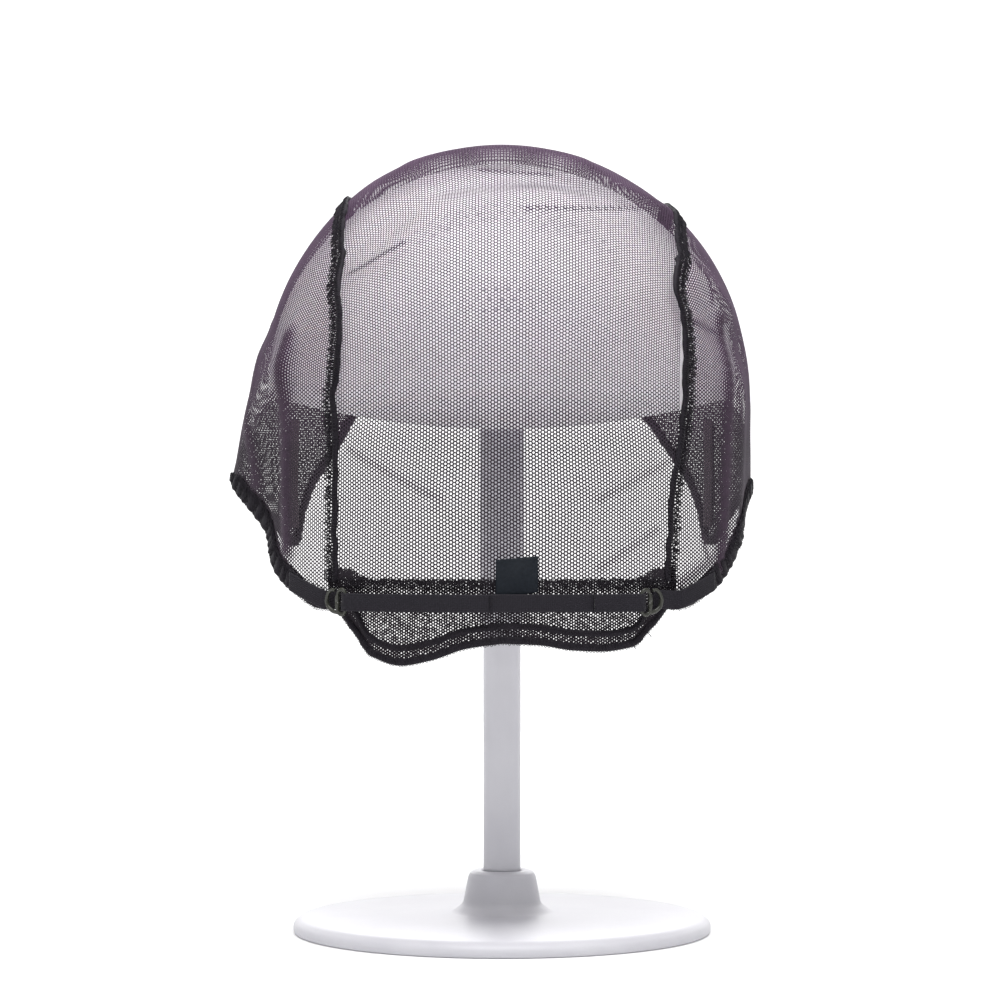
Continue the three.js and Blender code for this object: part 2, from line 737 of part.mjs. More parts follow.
// A hook is a flat ring with a slot for the strap and an arm that curls away from it.
function strapHook(side, reach) {
  const ring = new THREE.Shape();
  ring.absellipse(0, 0, hookWidth / 2, hookHeight / 2, 0, 2 * PI, false, 0);
  const slot = new THREE.Path();
  const [slotX, slotY] = [hookWidth / 2 - hookBar, hookSlotHeight / 2];
  slot.moveTo(-slotX, -slotY);
  slot.lineTo(-slotX, slotY);
  slot.lineTo(slotX, slotY);
  slot.lineTo(slotX, -slotY);
  slot.closePath();
  ring.holes.push(slot);
  const middle = new THREE.CatmullRomCurve3(
    hookArm.map(({ out, up }) => new THREE.Vector3(out * hookHeight, up * hookHeight, 0)),
  );
  const steps = 12;
  const rims = [[], []];
  for (let step = 0; step <= steps; step++) {
    const point = middle.getPointAt(step / steps);
    const tangent = middle.getTangentAt(step / steps);
    const half = (hookArmWidth / 2) * (1 - 0.35 * (step / steps));
    rims[0].push(new THREE.Vector2(point.x - tangent.y * half, point.y + tangent.x * half));
    rims[1].unshift(new THREE.Vector2(point.x + tangent.y * half, point.y - tangent.x * half));
  }
  const plate = { depth: hookThickness, bevelEnabled: false, curveSegments: 10 };
  const arm = solidFrom(new THREE.ExtrudeGeometry(new THREE.Shape(rims.flat()), plate));
  const body = geometryFrom(solidFrom(new THREE.ExtrudeGeometry(ring, plate)).add(arm));
  body.translate(0, 0, -hookThickness / 2);
  if (side < 0) body.rotateY(PI);
  const azimuth = (side * reach) / capRadius;
  body.rotateX(PI / 2);
  body.rotateZ(azimuth);
  const place = capPoint(azimuth, strapDrop, barLift);
  body.translate(place.x, place.y, place.z);
  return body;
}

// Stays
const stayLift = -netWall - clearance - stayThickness / 2;

function stayPlace(side, across, length) {
  return [side * (stayAzimuth + across / capRadius), stayTopDrop + length];
}

const stayLength = (side) => lowerEdge(side * stayAzimuth) - stayFootGap - stayTopDrop;

function stay(side) {
  const half = stayWidth / 2;
  const whole = stayLength(side);
  const stations = [
    { length: 0, share: 0.45 },
    { length: half * 0.35, share: 0.8 },
    { length: half, share: 1 },
    { length: whole / 2, share: 1 },
    { length: whole - half, share: 1 },
    { length: whole - half * 0.35, share: 0.8 },
    { length: whole, share: 0.45 },
  ];
  const profile = [
    new THREE.Vector2(-1, -1),
    new THREE.Vector2(1, -1),
    new THREE.Vector2(1, 1),
    new THREE.Vector2(-1, 1),
  ];
  const sections = stations.map(({ length, share }) =>
    profile.map(({ x, y }) => {
      const [azimuth, drop] = stayPlace(side, x * half * share, length);
      return capPoint(azimuth, drop, stayLift + (y * stayThickness) / 2);
    }),
  );
  return loft(profile, sections);
}

// The casing is a sewn channel over the stay, open toward the tab.
function stayCasing(side) {
  const half = stayWidth / 2 + clearance + casingWall;
  const high = -netWall - clearance;
  const low = high - stayThickness - clearance - casingWall;
  const profile = [
    new THREE.Vector2(-half, high),
    new THREE.Vector2(-half, low),
    new THREE.Vector2(half, low),
    new THREE.Vector2(half, high),
    new THREE.Vector2(half - casingWall, high),
    new THREE.Vector2(half - casingWall, low + casingWall),
    new THREE.Vector2(-half + casingWall, low + casingWall),
    new THREE.Vector2(-half + casingWall, high),
  ];
  const steps = 5;
  const sections = Array.from({ length: steps + 1 }, (_, step) =>
    profile.map(({ x, y }) => {
      const length = -casingOverrun + (stayLength(side) + casingOverrun) * (step / steps);
      const [azimuth, drop] = stayPlace(side, x, length);
      return capPoint(azimuth, drop, y);
    }),
  );
  return loft(profile, sections);
}

// Stand
const domeRadius = capRadius - netWall - domeSeatDent - 2 * clearance;
const domeRise = capRadius - netWall - crownStandOff;

function turnedBody(outline, segments) {
  const points = outline.map(([radius, height]) => new THREE.Vector2(radius, height));
  const body = mergeVertices(new THREE.LatheGeometry(points, segments).deleteAttribute("uv").deleteAttribute("normal"));
  return body.rotateX(PI / 2);
}

// The dome's profile: step runs from its rim's circle (0) to its top.
function domeProfile(wall, step) {
  const angle = (PI / 2) * (step / domeSteps);
  return [(domeRadius - wall) * cos(angle), (domeRise - wall) * sin(angle)];
}

// The height of the dome's underside over the equator, on its flat faces.
function domeUnderside(radius) {
  const corner = radius / cos(PI / domeSides);
  let step = domeSteps;
  while (domeProfile(domeWall, step)[0] < corner) step--;
  const [outerRadius, outerHeight] = domeProfile(domeWall, step);
  const [innerRadius, innerHeight] = domeProfile(domeWall, min(step + 1, domeSteps));
  const share = (outerRadius - corner) / max(outerRadius - innerRadius, clearance);
  return outerHeight + (innerHeight - outerHeight) * share;
}

function standDome() {
  const outline = [];
  for (let step = domeSteps; step >= 0; step--) outline.push(domeProfile(0, step));
  outline.push([domeRadius, -domeRimDrop]);
  outline.push([domeRadius - domeWall, -domeRimDrop]);
  for (let step = 0; step <= domeSteps; step++) outline.push(domeProfile(domeWall, step));
  outline[0][0] = 0;
  outline[outline.length - 1][0] = 0;
  const body = turnedBody(outline, domeSides);
  const position = body.attributes.position;
  for (let n = 0; n < position.count; n++) {
    const toNape = max(0, -position.getY(n) / domeRadius);
    const below = max(0, -position.getZ(n)) / domeRimDrop;
    position.setZ(n, position.getZ(n) - domeBackDip * toNape ** 2 * below);
  }
  let solid = solidFrom(facingOut(body));
  for (const punch of domePunches()) solid = solid.subtract(punch);
  return geometryFrom(solid).translate(0, 0, equatorHeight);
}

function domePunches() {
  const punches = [];
  for (const arc of holeArcs)
    for (let row = -1; row <= 1; row++) {
      const rise = arc.rise * degree + (row * holeRowGap) / domeRise;
      const ring = domeRadius * cos(rise);
      const half = round((arc.reach * degree * ring) / holePitch);
      for (let n = -half; n <= half - (row ? 1 : 0); n++) {
        const azimuth = ((n + (row ? 0.5 : 0)) * holePitch) / ring;
        const height = rise - arc.sag * degree * (azimuth / (arc.reach * degree)) ** 2;
        const pin = new THREE.CylinderGeometry(holeDiameter / 2, holeDiameter / 2, 5 * domeWall, 4);
        pin.rotateZ(PI / 2);
        pin.translate(domeRadius - domeWall / 2, 0, 0);
        pin.rotateY(-height);
        pin.rotateZ(azimuth - PI / 2);
        punches.push(solidFrom(pin));
      }
    }
  return punches;
}

function standHub() {
  const bore = poleTopDiameter / 2 + clearance;
  const under = (radius) => domeUnderside(radius) - clearance;
  const top = under(0);
  const boreTop = top - hubWall;
  const bottom = top - hubHeight;
  const outline = [[0, top]];
  const firstRing = domeProfile(domeWall, domeSteps - 1)[0] * cos(PI / domeSides);
  outline.push([firstRing, under(firstRing)]);
  outline.push([hubFlareRadius, under(hubFlareRadius)]);
  outline.push([hubFlareRadius, under(hubFlareRadius) - hubWall]);
  outline.push([bore + hubWall * 2.2, top - hubHeight * 0.42]);
  outline.push([bore + hubWall, bottom]);
  outline.push([bore, bottom]);
  outline.push([bore, boreTop]);
  outline.push([0, boreTop]);
  return facingOut(turnedBody(outline, 20)).translate(0, 0, equatorHeight);
}

function standPole() {
  const top = equatorHeight + domeUnderside(0) - hubWall - 2 * clearance;
  const bottom = bossFloor + clearance;
  const shoulder = (poleTopDiameter - poleDiameter) / 2;
  const outline = [
    [0, top],
    [poleTopDiameter / 2 - edgeBevel / 2, top],
    [poleTopDiameter / 2, top - edgeBevel / 2],
    [poleTopDiameter / 2, poleShoulderHeight],
    [poleDiameter / 2, poleShoulderHeight - shoulder],
    [poleDiameter / 2, bottom],
    [0, bottom],
  ];
  return facingOut(turnedBody(outline, 20));
}

function standBase() {
  const bore = poleDiameter / 2 + clearance;
  const boss = bore + bossWall;
  const outline = [
    [0, bossFloor],
    [bore, bossFloor],
    [bore, bossHeight],
    [boss - edgeBevel, bossHeight],
    [boss, bossHeight - edgeBevel],
    [boss + 2, baseThickness + 3],
    [boss + 6, baseThickness],
    [baseDiameter / 2 - 2 * edgeBevel, baseThickness - edgeBevel],
    [baseDiameter / 2, baseThickness - 2.5 * edgeBevel],
    [baseDiameter / 2, edgeBevel / 2],
    [baseDiameter / 2 - edgeBevel / 2, 0],
    [0, 0],
  ];
  return facingOut(turnedBody(outline, 24));
}

// Finishes
function finish(color, roughness, metalness = 0) {
  return new THREE.MeshStandardMaterial({ color, roughness, metalness, side: THREE.DoubleSide });
}

const net = () => finish(0x4a3f4c, 0.85);
const lace = () => finish(0x2b262c, 0.88);
const thread = () => finish(0x1d1a20, 0.8);
const elastic = () => finish(0x2a282e, 0.75);
const satin = () => finish(0x171a21, 0.4);
const hookPlastic = () => finish(0x34352f, 0.35);
const bone = () => finish(0x1f1b20, 0.5);
const casing = () => finish(0x3f3338, 0.85);
const whitePlastic = () => finish(0xe4e2e6, 0.45);

const wigCap = new THREE.Group();

function add(name, geometry, material) {
  const mesh = new THREE.Mesh(facingOut(geometry), material);
  mesh.name = name;
  wigCap.add(mesh);
}

add("crown_panel", crownPanel(), net());
add("nape_band", napeBand(), lace());
add("nape_binding", napeBinding(), thread());
add("nape_elastic", napeElastic(), elastic());
add("front_binding", frontBinding(), thread());
add("nape_strap", napeStrap(), elastic());
add("label_tab", label(), satin());
for (const [name, side, hookReach] of [
  ["left", -1, hookReachLeft],
  ["right", 1, hookReachRight],
]) {
  add(`side_panel_${name}`, sidePanel(side), net());
  add(`seam_${name}`, seam(side), thread());
  add(`ear_hem_${name}`, earHem(side), thread());
  add(`ear_tab_${name}`, earTab(side), lace());
  add(`tab_binding_${name}`, tabBinding(side), thread());
  add(`stay_${name}`, stay(side), bone());
  add(`stay_casing_${name}`, stayCasing(side), casing());
  add(`strap_hook_${name}`, strapHook(side, hookReach), hookPlastic());
  add(`loop_tape_${name}`, loopTape(side), elastic());
}
add("stand_dome", standDome(), whitePlastic());
add("stand_hub", standHub(), whitePlastic());
add("stand_pole", standPole(), whitePlastic());
add("stand_base", standBase(), whitePlastic());

export default wigCap;
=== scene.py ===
from math import ceil, floor, pi, sqrt

import bpy
import numpy as np
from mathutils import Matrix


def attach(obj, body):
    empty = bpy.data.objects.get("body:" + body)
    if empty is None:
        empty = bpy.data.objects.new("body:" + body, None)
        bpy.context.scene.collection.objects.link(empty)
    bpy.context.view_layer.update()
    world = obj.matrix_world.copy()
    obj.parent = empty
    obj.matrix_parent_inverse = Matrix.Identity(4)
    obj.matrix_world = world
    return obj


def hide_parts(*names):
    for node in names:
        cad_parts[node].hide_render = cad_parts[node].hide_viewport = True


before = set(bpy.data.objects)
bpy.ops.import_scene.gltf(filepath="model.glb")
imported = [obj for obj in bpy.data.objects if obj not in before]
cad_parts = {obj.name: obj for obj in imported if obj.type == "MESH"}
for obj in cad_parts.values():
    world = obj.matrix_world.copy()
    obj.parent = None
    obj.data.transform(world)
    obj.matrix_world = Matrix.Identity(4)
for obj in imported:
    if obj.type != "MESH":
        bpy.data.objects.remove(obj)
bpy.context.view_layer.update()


# Foot, pole and socket of the stand.
# Satin white moulded plastic: the pole is pushed into the boss of the round foot below, and into
# the flared socket that is glued under the dome above.
class Tone:
    """A socket of a node tree, so that masks and tints are written as sums and products."""

    def __init__(self, tree, socket=None):
        self.tree = tree
        self.socket = socket

    def node(self, kind, settings, sockets, output=0):
        made = self.tree.nodes.new(kind)
        for name, value in settings.items():
            if name != "stops":
                setattr(made, name, value)
                continue
            stops = made.color_ramp.elements
            while len(stops) < len(value):
                stops.new(1)
            for stop, (position, tint) in zip(stops, value):
                stop.position = position
                stop.color = (*tint, 1)
        for name, value in sockets.items():
            if isinstance(value, Tone):
                self.tree.links.new(value.socket, made.inputs[name])
            else:
                made.inputs[name].default_value = value
        return Tone(self.tree, made.outputs[output])

    def math(self, operation, first, second=0.0):
        return self.node("ShaderNodeMath", {"operation": operation}, {0: first, 1: second})

    def __add__(self, other):
        return self.math("ADD", self, other)

    def __mul__(self, other):
        return self.math("MULTIPLY", self, other)

    __radd__ = __add__
    __rmul__ = __mul__

    def noise(self, scale, detail=2.0):
        sockets = {"Vector": self, "Scale": scale, "Detail": detail}
        return self.node("ShaderNodeTexNoise", {}, sockets)

    def ramp(self, *stops):
        return self.node("ShaderNodeValToRGB", {"stops": stops}, {0: self})


def finish(name, **fixed):
    """A new material with its constant sockets set, and a Tone on the piece's own coordinates."""
    made = bpy.data.materials.new(name)
    made.use_nodes = True
    for socket, value in fixed.items():
        made.node_tree.nodes["Principled BSDF"].inputs[socket.replace("_", " ")].default_value = value
    place = Tone(made.node_tree).node("ShaderNodeTexCoord", {}, {}, 3)
    return made, place


def lay_on(material, color=None, rough=None, relief=None, height=0.0001):
    """Leads a tint, a roughness and a relief to a material's surface."""
    tree = material.node_tree
    skin = tree.nodes["Principled BSDF"]
    for socket, tone in (("Base Color", color), ("Roughness", rough)):
        if tone:
            tree.links.new(tone.socket, skin.inputs[socket])
    if relief:
        bump = relief.node("ShaderNodeBump", {}, {"Height": relief, "Distance": height})
        tree.links.new(bump.socket, skin.inputs["Normal"])


def mesh_piece(name, points, *faces):
    """A smooth mesh object: points in millimetres, faces as arrays with one row for each face."""
    mesh = bpy.data.meshes.new(name)
    corners = np.concatenate([group.ravel() for group in faces]).astype(np.int32)
    sizes = np.concatenate([np.full(len(group), group.shape[1]) for group in faces])
    mesh.vertices.add(len(points))
    mesh.vertices.foreach_set("co", (np.asarray(points) / 1000).astype(np.float32).ravel())
    mesh.loops.add(len(corners))
    mesh.loops.foreach_set("vertex_index", corners)
    mesh.polygons.add(len(sizes))
    mesh.polygons.foreach_set("loop_start", (np.cumsum(sizes) - sizes).astype(np.int32))
    mesh.update(calc_edges=True)
    mesh.shade_smooth()
    piece = bpy.data.objects.new(name, mesh)
    bpy.context.scene.collection.objects.link(piece)
    return piece


def dress(piece, material, slot, *nodes):
    """Gives a piece its material and its place in the frame."""
    piece.data.materials.clear()
    piece.data.materials.append(material)
    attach(piece, "root")
    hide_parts(*nodes)


def eased(outline, radius):
    """An open outline with its inner corners rounded."""
    outline = np.array(outline, float)
    soft = [outline[0]]
    for before, corner, after in zip(outline, outline[1:], outline[2:]):
        back, on = before - corner, after - corner
        back *= min(radius, np.linalg.norm(back) / 2) / max(np.linalg.norm(back), 1e-9)
        on *= min(radius, np.linalg.norm(on) / 2) / max(np.linalg.norm(on), 1e-9)
        for t in (0, 0.3, 0.7, 1):
            soft.append(corner + back * (1 - t) ** 2 + on * t**2)
    soft.append(outline[-1])
    return np.array(soft)


def turned_piece(name, outline, sides=96):
    """A closed lathe shape whose outline starts and ends on the axis."""
    rings = outline[1:-1]
    turn = np.arange(sides) * 2 * pi / sides
    points = np.stack(
        [
            np.outer(rings[:, 0], np.cos(turn)),
            np.outer(rings[:, 0], np.sin(turn)),
            np.repeat(rings[:, 1:2], sides, axis=1),
        ],
        -1,
    ).reshape(-1, 3)
    ends = [[0, 0, outline[0][1]], [0, 0, outline[-1][1]]]
    ring, side = np.divmod(np.arange((len(rings) - 1) * sides), sides)
    after = (side + 1) % sides
    walls = np.stack(
        [ring * sides + side, ring * sides + after, (ring + 1) * sides + after, (ring + 1) * sides + side],
        -1,
    )
    around = np.arange(sides)
    beside = (around + 1) % sides
    first, last = len(points), len(points) + 1
    top = np.stack([np.full(sides, first), beside, around], -1)
    low = (len(rings) - 1) * sides
    end = np.stack([np.full(sides, last), low + around, low + beside], -1)
    return mesh_piece(name, np.concatenate([points, ends]), walls[:, ::-1], top[:, ::-1], end[:, ::-1])


FLOOR_TO_EQUATOR = 194.6
DOME_RADIUS = 84.0
DOME_RISE = 81.0
DOME_WALL = 1.6

white, place = finish("satin_white_plastic", Specular_IOR_Level=0.45)
cloud = place.noise(38, 3)
speck = place.noise(900, 2)
lay_on(
    white,
    cloud.ramp((0.3, (0.55, 0.545, 0.585)), (0.7, (0.60, 0.595, 0.63))),
    0.34 + speck * 0.12 + cloud * 0.06,
    speck + place.noise(3200, 1) * 0.4,
    0.00004,
)


def under_dome(radius):
    return FLOOR_TO_EQUATOR + (DOME_RISE - DOME_WALL) * sqrt(1 - (radius / (DOME_RADIUS - DOME_WALL)) ** 2)


foot = [(0, 4), (7, 4), (7, 22), (10.5, 22), (12, 20.5), (14, 10), (18, 7)]
foot += [(72, 5.5), (75, 3.25), (75, 0.75), (74.25, 0), (0, 0)]
pole = [(0, 271.4), (8, 271.4), (8, 112), (6.7, 110.7), (6.7, 4.3), (0, 4.3)]
flare = [(0, under_dome(0) - 0.5), (13, under_dome(13) - 0.5), (26, under_dome(26) - 0.5)]
flare += [(26, under_dome(26) - 2.5), (13, 259), (10.6, 240), (8.4, 240), (8.4, 271.7), (0, 271.7)]
for name, outline, node in (
    ("foot", foot, "stand_base"),
    ("pole", pole, "stand_pole"),
    ("socket", flare, "stand_hub"),
):
    piece = turned_piece(name, eased(outline, 1.2))
    piece.data.set_sharp_from_angle(angle=0.9)
    dress(piece, white, "stand_plastic", node)


# The dome that the cap is pulled over.
# A thin shell of translucent white plastic, open below and longer at the back, with two arcs of
# small vent holes drilled through its back.
def places_piece(name, points, along, outward):
    """Bare points that carry two directions, for what is set out on them."""
    mesh = bpy.data.meshes.new(name)
    mesh.from_pydata((np.asarray(points) / 1000).tolist(), [], [])
    for label, directions in (("along", along), ("outward", outward)):
        layer = mesh.attributes.new(label, "FLOAT_VECTOR", "POINT")
        layer.data.foreach_set("vector", np.ascontiguousarray(directions, dtype=np.float32).ravel())
    piece = bpy.data.objects.new(name, mesh)
    bpy.context.scene.collection.objects.link(piece)
    return piece


def settled(piece):
    """Turns a piece with its live modifiers into a plain mesh."""
    graph = bpy.context.evaluated_depsgraph_get()
    mesh = bpy.data.meshes.new_from_object(piece.evaluated_get(graph))
    piece.modifiers.clear()
    piece.data = mesh
    return piece


def set_out_tree():
    """Sets one small shape on each point, turned to its directions, a little unevenly."""
    tree = bpy.data.node_groups.new("set_out", "GeometryNodeTree")
    inputs = (
        ("Places", "NodeSocketGeometry"),
        ("Shape", "NodeSocketObject"),
        ("Sway", "NodeSocketFloat"),
        ("Smallest", "NodeSocketFloat"),
        ("Seed", "NodeSocketInt"),
        ("Finish", "NodeSocketMaterial"),
    )
    for label, kind in inputs:
        tree.interface.new_socket(label, in_out="INPUT", socket_type=kind)
    tree.interface.new_socket("Pieces", in_out="OUTPUT", socket_type="NodeSocketGeometry")
    source = tree.nodes.new("NodeGroupInput")
    given = {label: Tone(tree, source.outputs[label]) for label, _ in inputs}
    node = Tone(tree).node
    along, outward = (
        node("GeometryNodeInputNamedAttribute", {"data_type": "FLOAT_VECTOR"}, {"Name": label})
        for label in ("along", "outward")
    )
    facing = node(
        "FunctionNodeAxesToRotation",
        {"primary_axis": "Z", "secondary_axis": "X"},
        {"Primary Axis": outward, "Secondary Axis": along},
    )
    sway = node(
        "FunctionNodeRandomValue",
        {"data_type": "FLOAT"},
        {2: given["Sway"] * -1, 3: given["Sway"], "Seed": given["Seed"]},
        1,
    )
    twist = node("ShaderNodeCombineXYZ", {}, {"Z": sway})
    twist = node("FunctionNodeEulerToRotation", {}, {0: twist})
    facing = node("FunctionNodeRotateRotation", {"rotation_space": "LOCAL"}, {0: facing, 1: twist})
    size = node(
        "FunctionNodeRandomValue",
        {"data_type": "FLOAT"},
        {2: given["Smallest"], 3: 1.0, "Seed": given["Seed"] + 1},
        1,
    )
    shape = node("GeometryNodeObjectInfo", {}, {"Object": given["Shape"]}, 4)
    spread = node(
        "GeometryNodeInstanceOnPoints",
        {},
        {"Points": given["Places"], "Instance": shape, "Rotation": facing, "Scale": size},
    )
    real = node("GeometryNodeRealizeInstances", {}, {0: spread})
    done = node("GeometryNodeSetMaterial", {}, {"Geometry": real, "Material": given["Finish"]})
    exit_node = tree.nodes.new("NodeGroupOutput")
    tree.links.new(done.socket, exit_node.inputs[0])
    return tree


set_out = set_out_tree()


def set_out_on(name, points, along, outward, shape, material, sway=0.0, smallest=1.0, seed=1):
    """The small shape repeated along the points, as one plain mesh."""
    piece = places_piece(name, points, along, outward)
    live = piece.modifiers.new("set_out", "NODES")
    live.node_group = set_out
    values = {"Shape": shape, "Sway": sway, "Smallest": smallest, "Seed": seed, "Finish": material}
    for item in set_out.interface.items_tree:
        if item.name in values:
            live[item.identifier] = values[item.name]
    return settled(piece)


HOLE_PITCH = 4.1
HOLE_ROW_GAP = 3.7
HOLE_ARCS = ((46, 34, 14), (19.6, 25, 8))  # height angle, reach to each side, sag of the ends


def dome_outline():
    outline = []
    for wall in (0, DOME_WALL):
        rise = np.linspace(pi / 2, 0, 30) if wall == 0 else np.linspace(0, pi / 2, 30)
        arc = [((DOME_RADIUS - wall) * np.cos(t), (DOME_RISE - wall) * np.sin(t)) for t in rise]
        rim = [(DOME_RADIUS - wall, -2.6 * t) for t in (0.4, 0.9)]
        outline += arc + rim if wall == 0 else rim[::-1] + arc
    outline[0] = (0, DOME_RISE)
    outline[-1] = (0, DOME_RISE - DOME_WALL)
    return np.array(outline)


dome = turned_piece("dome", dome_outline(), 128)
points = np.empty(len(dome.data.vertices) * 3, np.float32)
dome.data.vertices.foreach_get("co", points)
points = points.reshape(-1, 3)
to_nape = np.maximum(0, -points[:, 1] * 1000 / DOME_RADIUS)
below = np.maximum(0, -points[:, 2] * 1000) / 2.6
points[:, 2] += (FLOOR_TO_EQUATOR - 15 * to_nape**2 * below) / 1000
dome.data.vertices.foreach_set("co", points.ravel())

hole_places, hole_out = [], []
for rise, reach, sag in HOLE_ARCS:
    for row in (-1, 0, 1):
        height = np.radians(rise) + row * HOLE_ROW_GAP / DOME_RISE
        ring = DOME_RADIUS * np.cos(height)
        half = round(np.radians(reach) * ring / HOLE_PITCH)
        for n in range(-half, half + (0 if row else 1)):
            turn = (n + (0.5 if row else 0)) * HOLE_PITCH / ring
            angle = height - np.radians(sag) * (turn / np.radians(reach)) ** 2
            out = np.array([np.cos(angle) * np.sin(turn), -np.cos(angle) * np.cos(turn), np.sin(angle)])
            hole_out.append(out)
            hole_places.append(out * 82.5 + [0, 0, FLOOR_TO_EQUATOR])
bpy.ops.mesh.primitive_cylinder_add(vertices=12, radius=0.00085, depth=0.012)
drill = bpy.context.object
side_on = np.cross(hole_out, [0, 0, 1])
drills = set_out_on("drills", hole_places, side_on, hole_out, drill, white)
cut = dome.modifiers.new("holes", "BOOLEAN")
cut.object = drills
cut.solver = "EXACT"
dome = settled(dome)
for tool in (drills, drill):
    bpy.data.objects.remove(tool)
dome.data.set_sharp_from_angle(angle=0.6)

milky, place = finish(
    "milky_white_plastic",
    Specular_IOR_Level=0.4,
    Subsurface_Weight=0.9,
    Subsurface_Radius=(0.01, 0.0095, 0.01),
    Subsurface_Scale=1.0,
)
cloud = place.noise(26, 3)
speck = place.noise(800, 2)
lay_on(
    milky,
    cloud.ramp((0.3, (0.83, 0.80, 0.84)), (0.7, (0.90, 0.875, 0.91))),
    0.42 + speck * 0.1,
    speck,
    0.00004,
)
dress(dome, milky, "dome_plastic", "stand_dome")


# The three panels of net: one long strip from nape to hairline and one piece on each side.
# Fine warp-knitted stretch net of dark purple-brown thread with rows of small six-sided holes,
# sewn together along two seams and stretched over the dome.
CAP_RADIUS = 88.0
NAPE_DROP = 93.6
BAND_TOP = 67.6
SEAM_REACH = 57.0
CLEARANCE = 0.3
BINDING_WALL = 0.7

# drop below the equator as a share of NAPE_DROP, then left and right as shares of CAP_RADIUS
SIDE_BULGE = (
    (-0.95, 0, 0), (-0.52, -0.026, 0.01), (-0.25, -0.028, 0.01), (-0.12, 0.004, 0.013),
    (0, 0.03, 0.015), (0.08, 0.05, 0.018), (0.17, 0.07, 0.017), (0.26, 0.088, 0.018),
    (0.37, 0.109, 0.018), (0.46, 0.08, 0.01), (0.62, 0.02, 0), (1, 0, 0),
)
# place along a seam, then its distance from the middle, left and right, as shares of SEAM_REACH
SEAM_ROWS = (
    (-0.8, 1, 0.985), (-0.4, 1.014, 1.03), (-0.22, 1.02, 1.09), (-0.04, 1.044, 1.127),
    (0.05, 1.01, 1.13), (0.12, 0.993, 1.11), (0.18, 1.012, 1.06), (0.26, 0.99, 1.085),
    (0.5, 0.98, 1.04), (1, 0.98, 0.975),
)
# degrees from the nape, then the finished edge, left and right, as shares of NAPE_DROP
EDGE_ROWS = (
    (0, 0.936, 0.936), (8, 0.955, 0.942), (16, 0.998, 0.962), (23, 1.018, 0.967),
    (30, 0.985, 0.95), (35, 0.87, 0.86), (40, 0.79, 0.79), (47, 0.786, 0.782),
    (56, 0.754, 0.754), (64, 0.685, 0.675), (69, 0.592, 0.57), (78, 0.462, 0.45),
    (90, 0.35, 0.386), (98, 0.405, 0.42), (105, 0.466, 0.466), (112, 0.55, 0.545),
    (116.5, 0.606, 0.6), (119.5, 0.606, 0.6), (122.5, 0.48, 0.48), (126, 0.38, 0.38),
    (132, 0.268, 0.268), (135.6, 0.199, 0.205), (141, 0.085, 0.11), (150, 0.017, 0.017),
    (165, -0.036, -0.036), (180, -0.058, -0.058),
)
TAB_TOP_ROWS = (
    (90, 0.35, 0.386), (92.5, 0.25, 0.27), (97, 0.155, 0.155), (103, 0.081, 0.081),
    (111, 0.015, 0.015), (120, -0.015, -0.015), (127, 0.01, 0.01), (133, 0.045, 0.045),
    (141, 0.04, 0.06),
)
# two ends as degrees and drop, then width as a share of CAP_RADIUS and height in millimetres
FOLDS = (
    (-30, 0.05, 30, 0.05, 0.42, -2.7), (-50, -1.03, 45, -1.05, 0.1, 1.8),
    (-20, -0.86, 30, -0.84, 0.09, -2.34), (10, -0.77, 66, -0.73, 0.1, 1.98),
    (-42, -0.5, -33, -0.7, 0.11, -2.52), (61, -0.22, 80, -0.16, 0.1, -2.16),
    (58, -0.42, 71, -0.3, 0.1, 1.98), (-62, -0.06, -78, 0.16, 0.11, 2.7),
    (-76, 0.2, -70, 0.5, 0.1, -2.34), (70, 0.04, 66, 0.55, 0.1, 2.34),
    (-32, 0.25, -12, 0.44, 0.12, 1.44), (36, 0.22, 14, 0.46, 0.12, 1.44),
    (-150, -0.3, -165, -0.7, 0.13, 2.34), (150, -0.25, 170, -0.66, 0.13, -2.16),
    (110, -0.2, 122, -0.5, 0.12, 2.16), (-112, -0.15, -124, -0.45, 0.12, -2.16),
)
# narrow folds where the net lies doubled: two ends as above, then half width in mm and how far it closes
GATHERS = (
    (-10, -0.98, 21, -0.95, 1.0, 0.2), (8, -0.7, 75, -0.75, 1.2, 0.2),
    (-43, -0.44, -28, -0.55, 1.1, 0.22), (49, -0.25, 67, -0.2, 1.3, 0.24),
    (62, -0.45, 62, -0.33, 1.3, 0.22), (-58, -0.02, -75, 0.15, 1.6, 0.26),
    (-37, 0.24, -14, 0.42, 1.4, 0.09), (47, 0.24, 22, 0.42, 1.4, 0.09),
    (22, 0.67, 37, 0.53, 1.4, 0.09), (-86, -0.25, -75, 0.36, 3.2, 0.46),
    (-60, -0.18, -58.5, 0.6, 3.7, 0.54), (66, -0.25, 59, 0.68, 3.0, 0.54),
    (44, 0.73, 58, 0.63, 2.2, 0.2), (52, 0.56, 55, 0.66, 1.2, 0.2),
)
FOLD_RISE = 1.6
LEAST_OPEN = 0.07


def read_rows(rows, side, at):
    """A smooth curve through a table, on the left or right, that never overshoots its rows."""
    table = np.array(rows, float)
    keys = table[:, 0]
    at = np.clip(at, keys[0], keys[-1])
    n = np.clip(np.searchsorted(keys, at) - 1, 0, len(keys) - 2)
    span = keys[n + 1] - keys[n]
    t = (at - keys[n]) / span
    blend = t * t * (3 - 2 * t)
    curves = []
    for values in (table[:, 1], table[:, 2]):
        slopes = np.diff(values) / np.diff(keys)
        both = slopes[:-1] * slopes[1:]
        total = np.where(both > 0, slopes[:-1] + slopes[1:], 1)
        lean = np.concatenate([slopes[:1], np.where(both > 0, 2 * both / total, 0), slopes[-1:]])
        bend = span * t * (1 - t) * ((1 - t) * lean[n] - t * lean[n + 1])
        curves.append(values[n] * (1 - blend) + values[n + 1] * blend + bend)
    return np.where(side < 0, curves[0], curves[1])


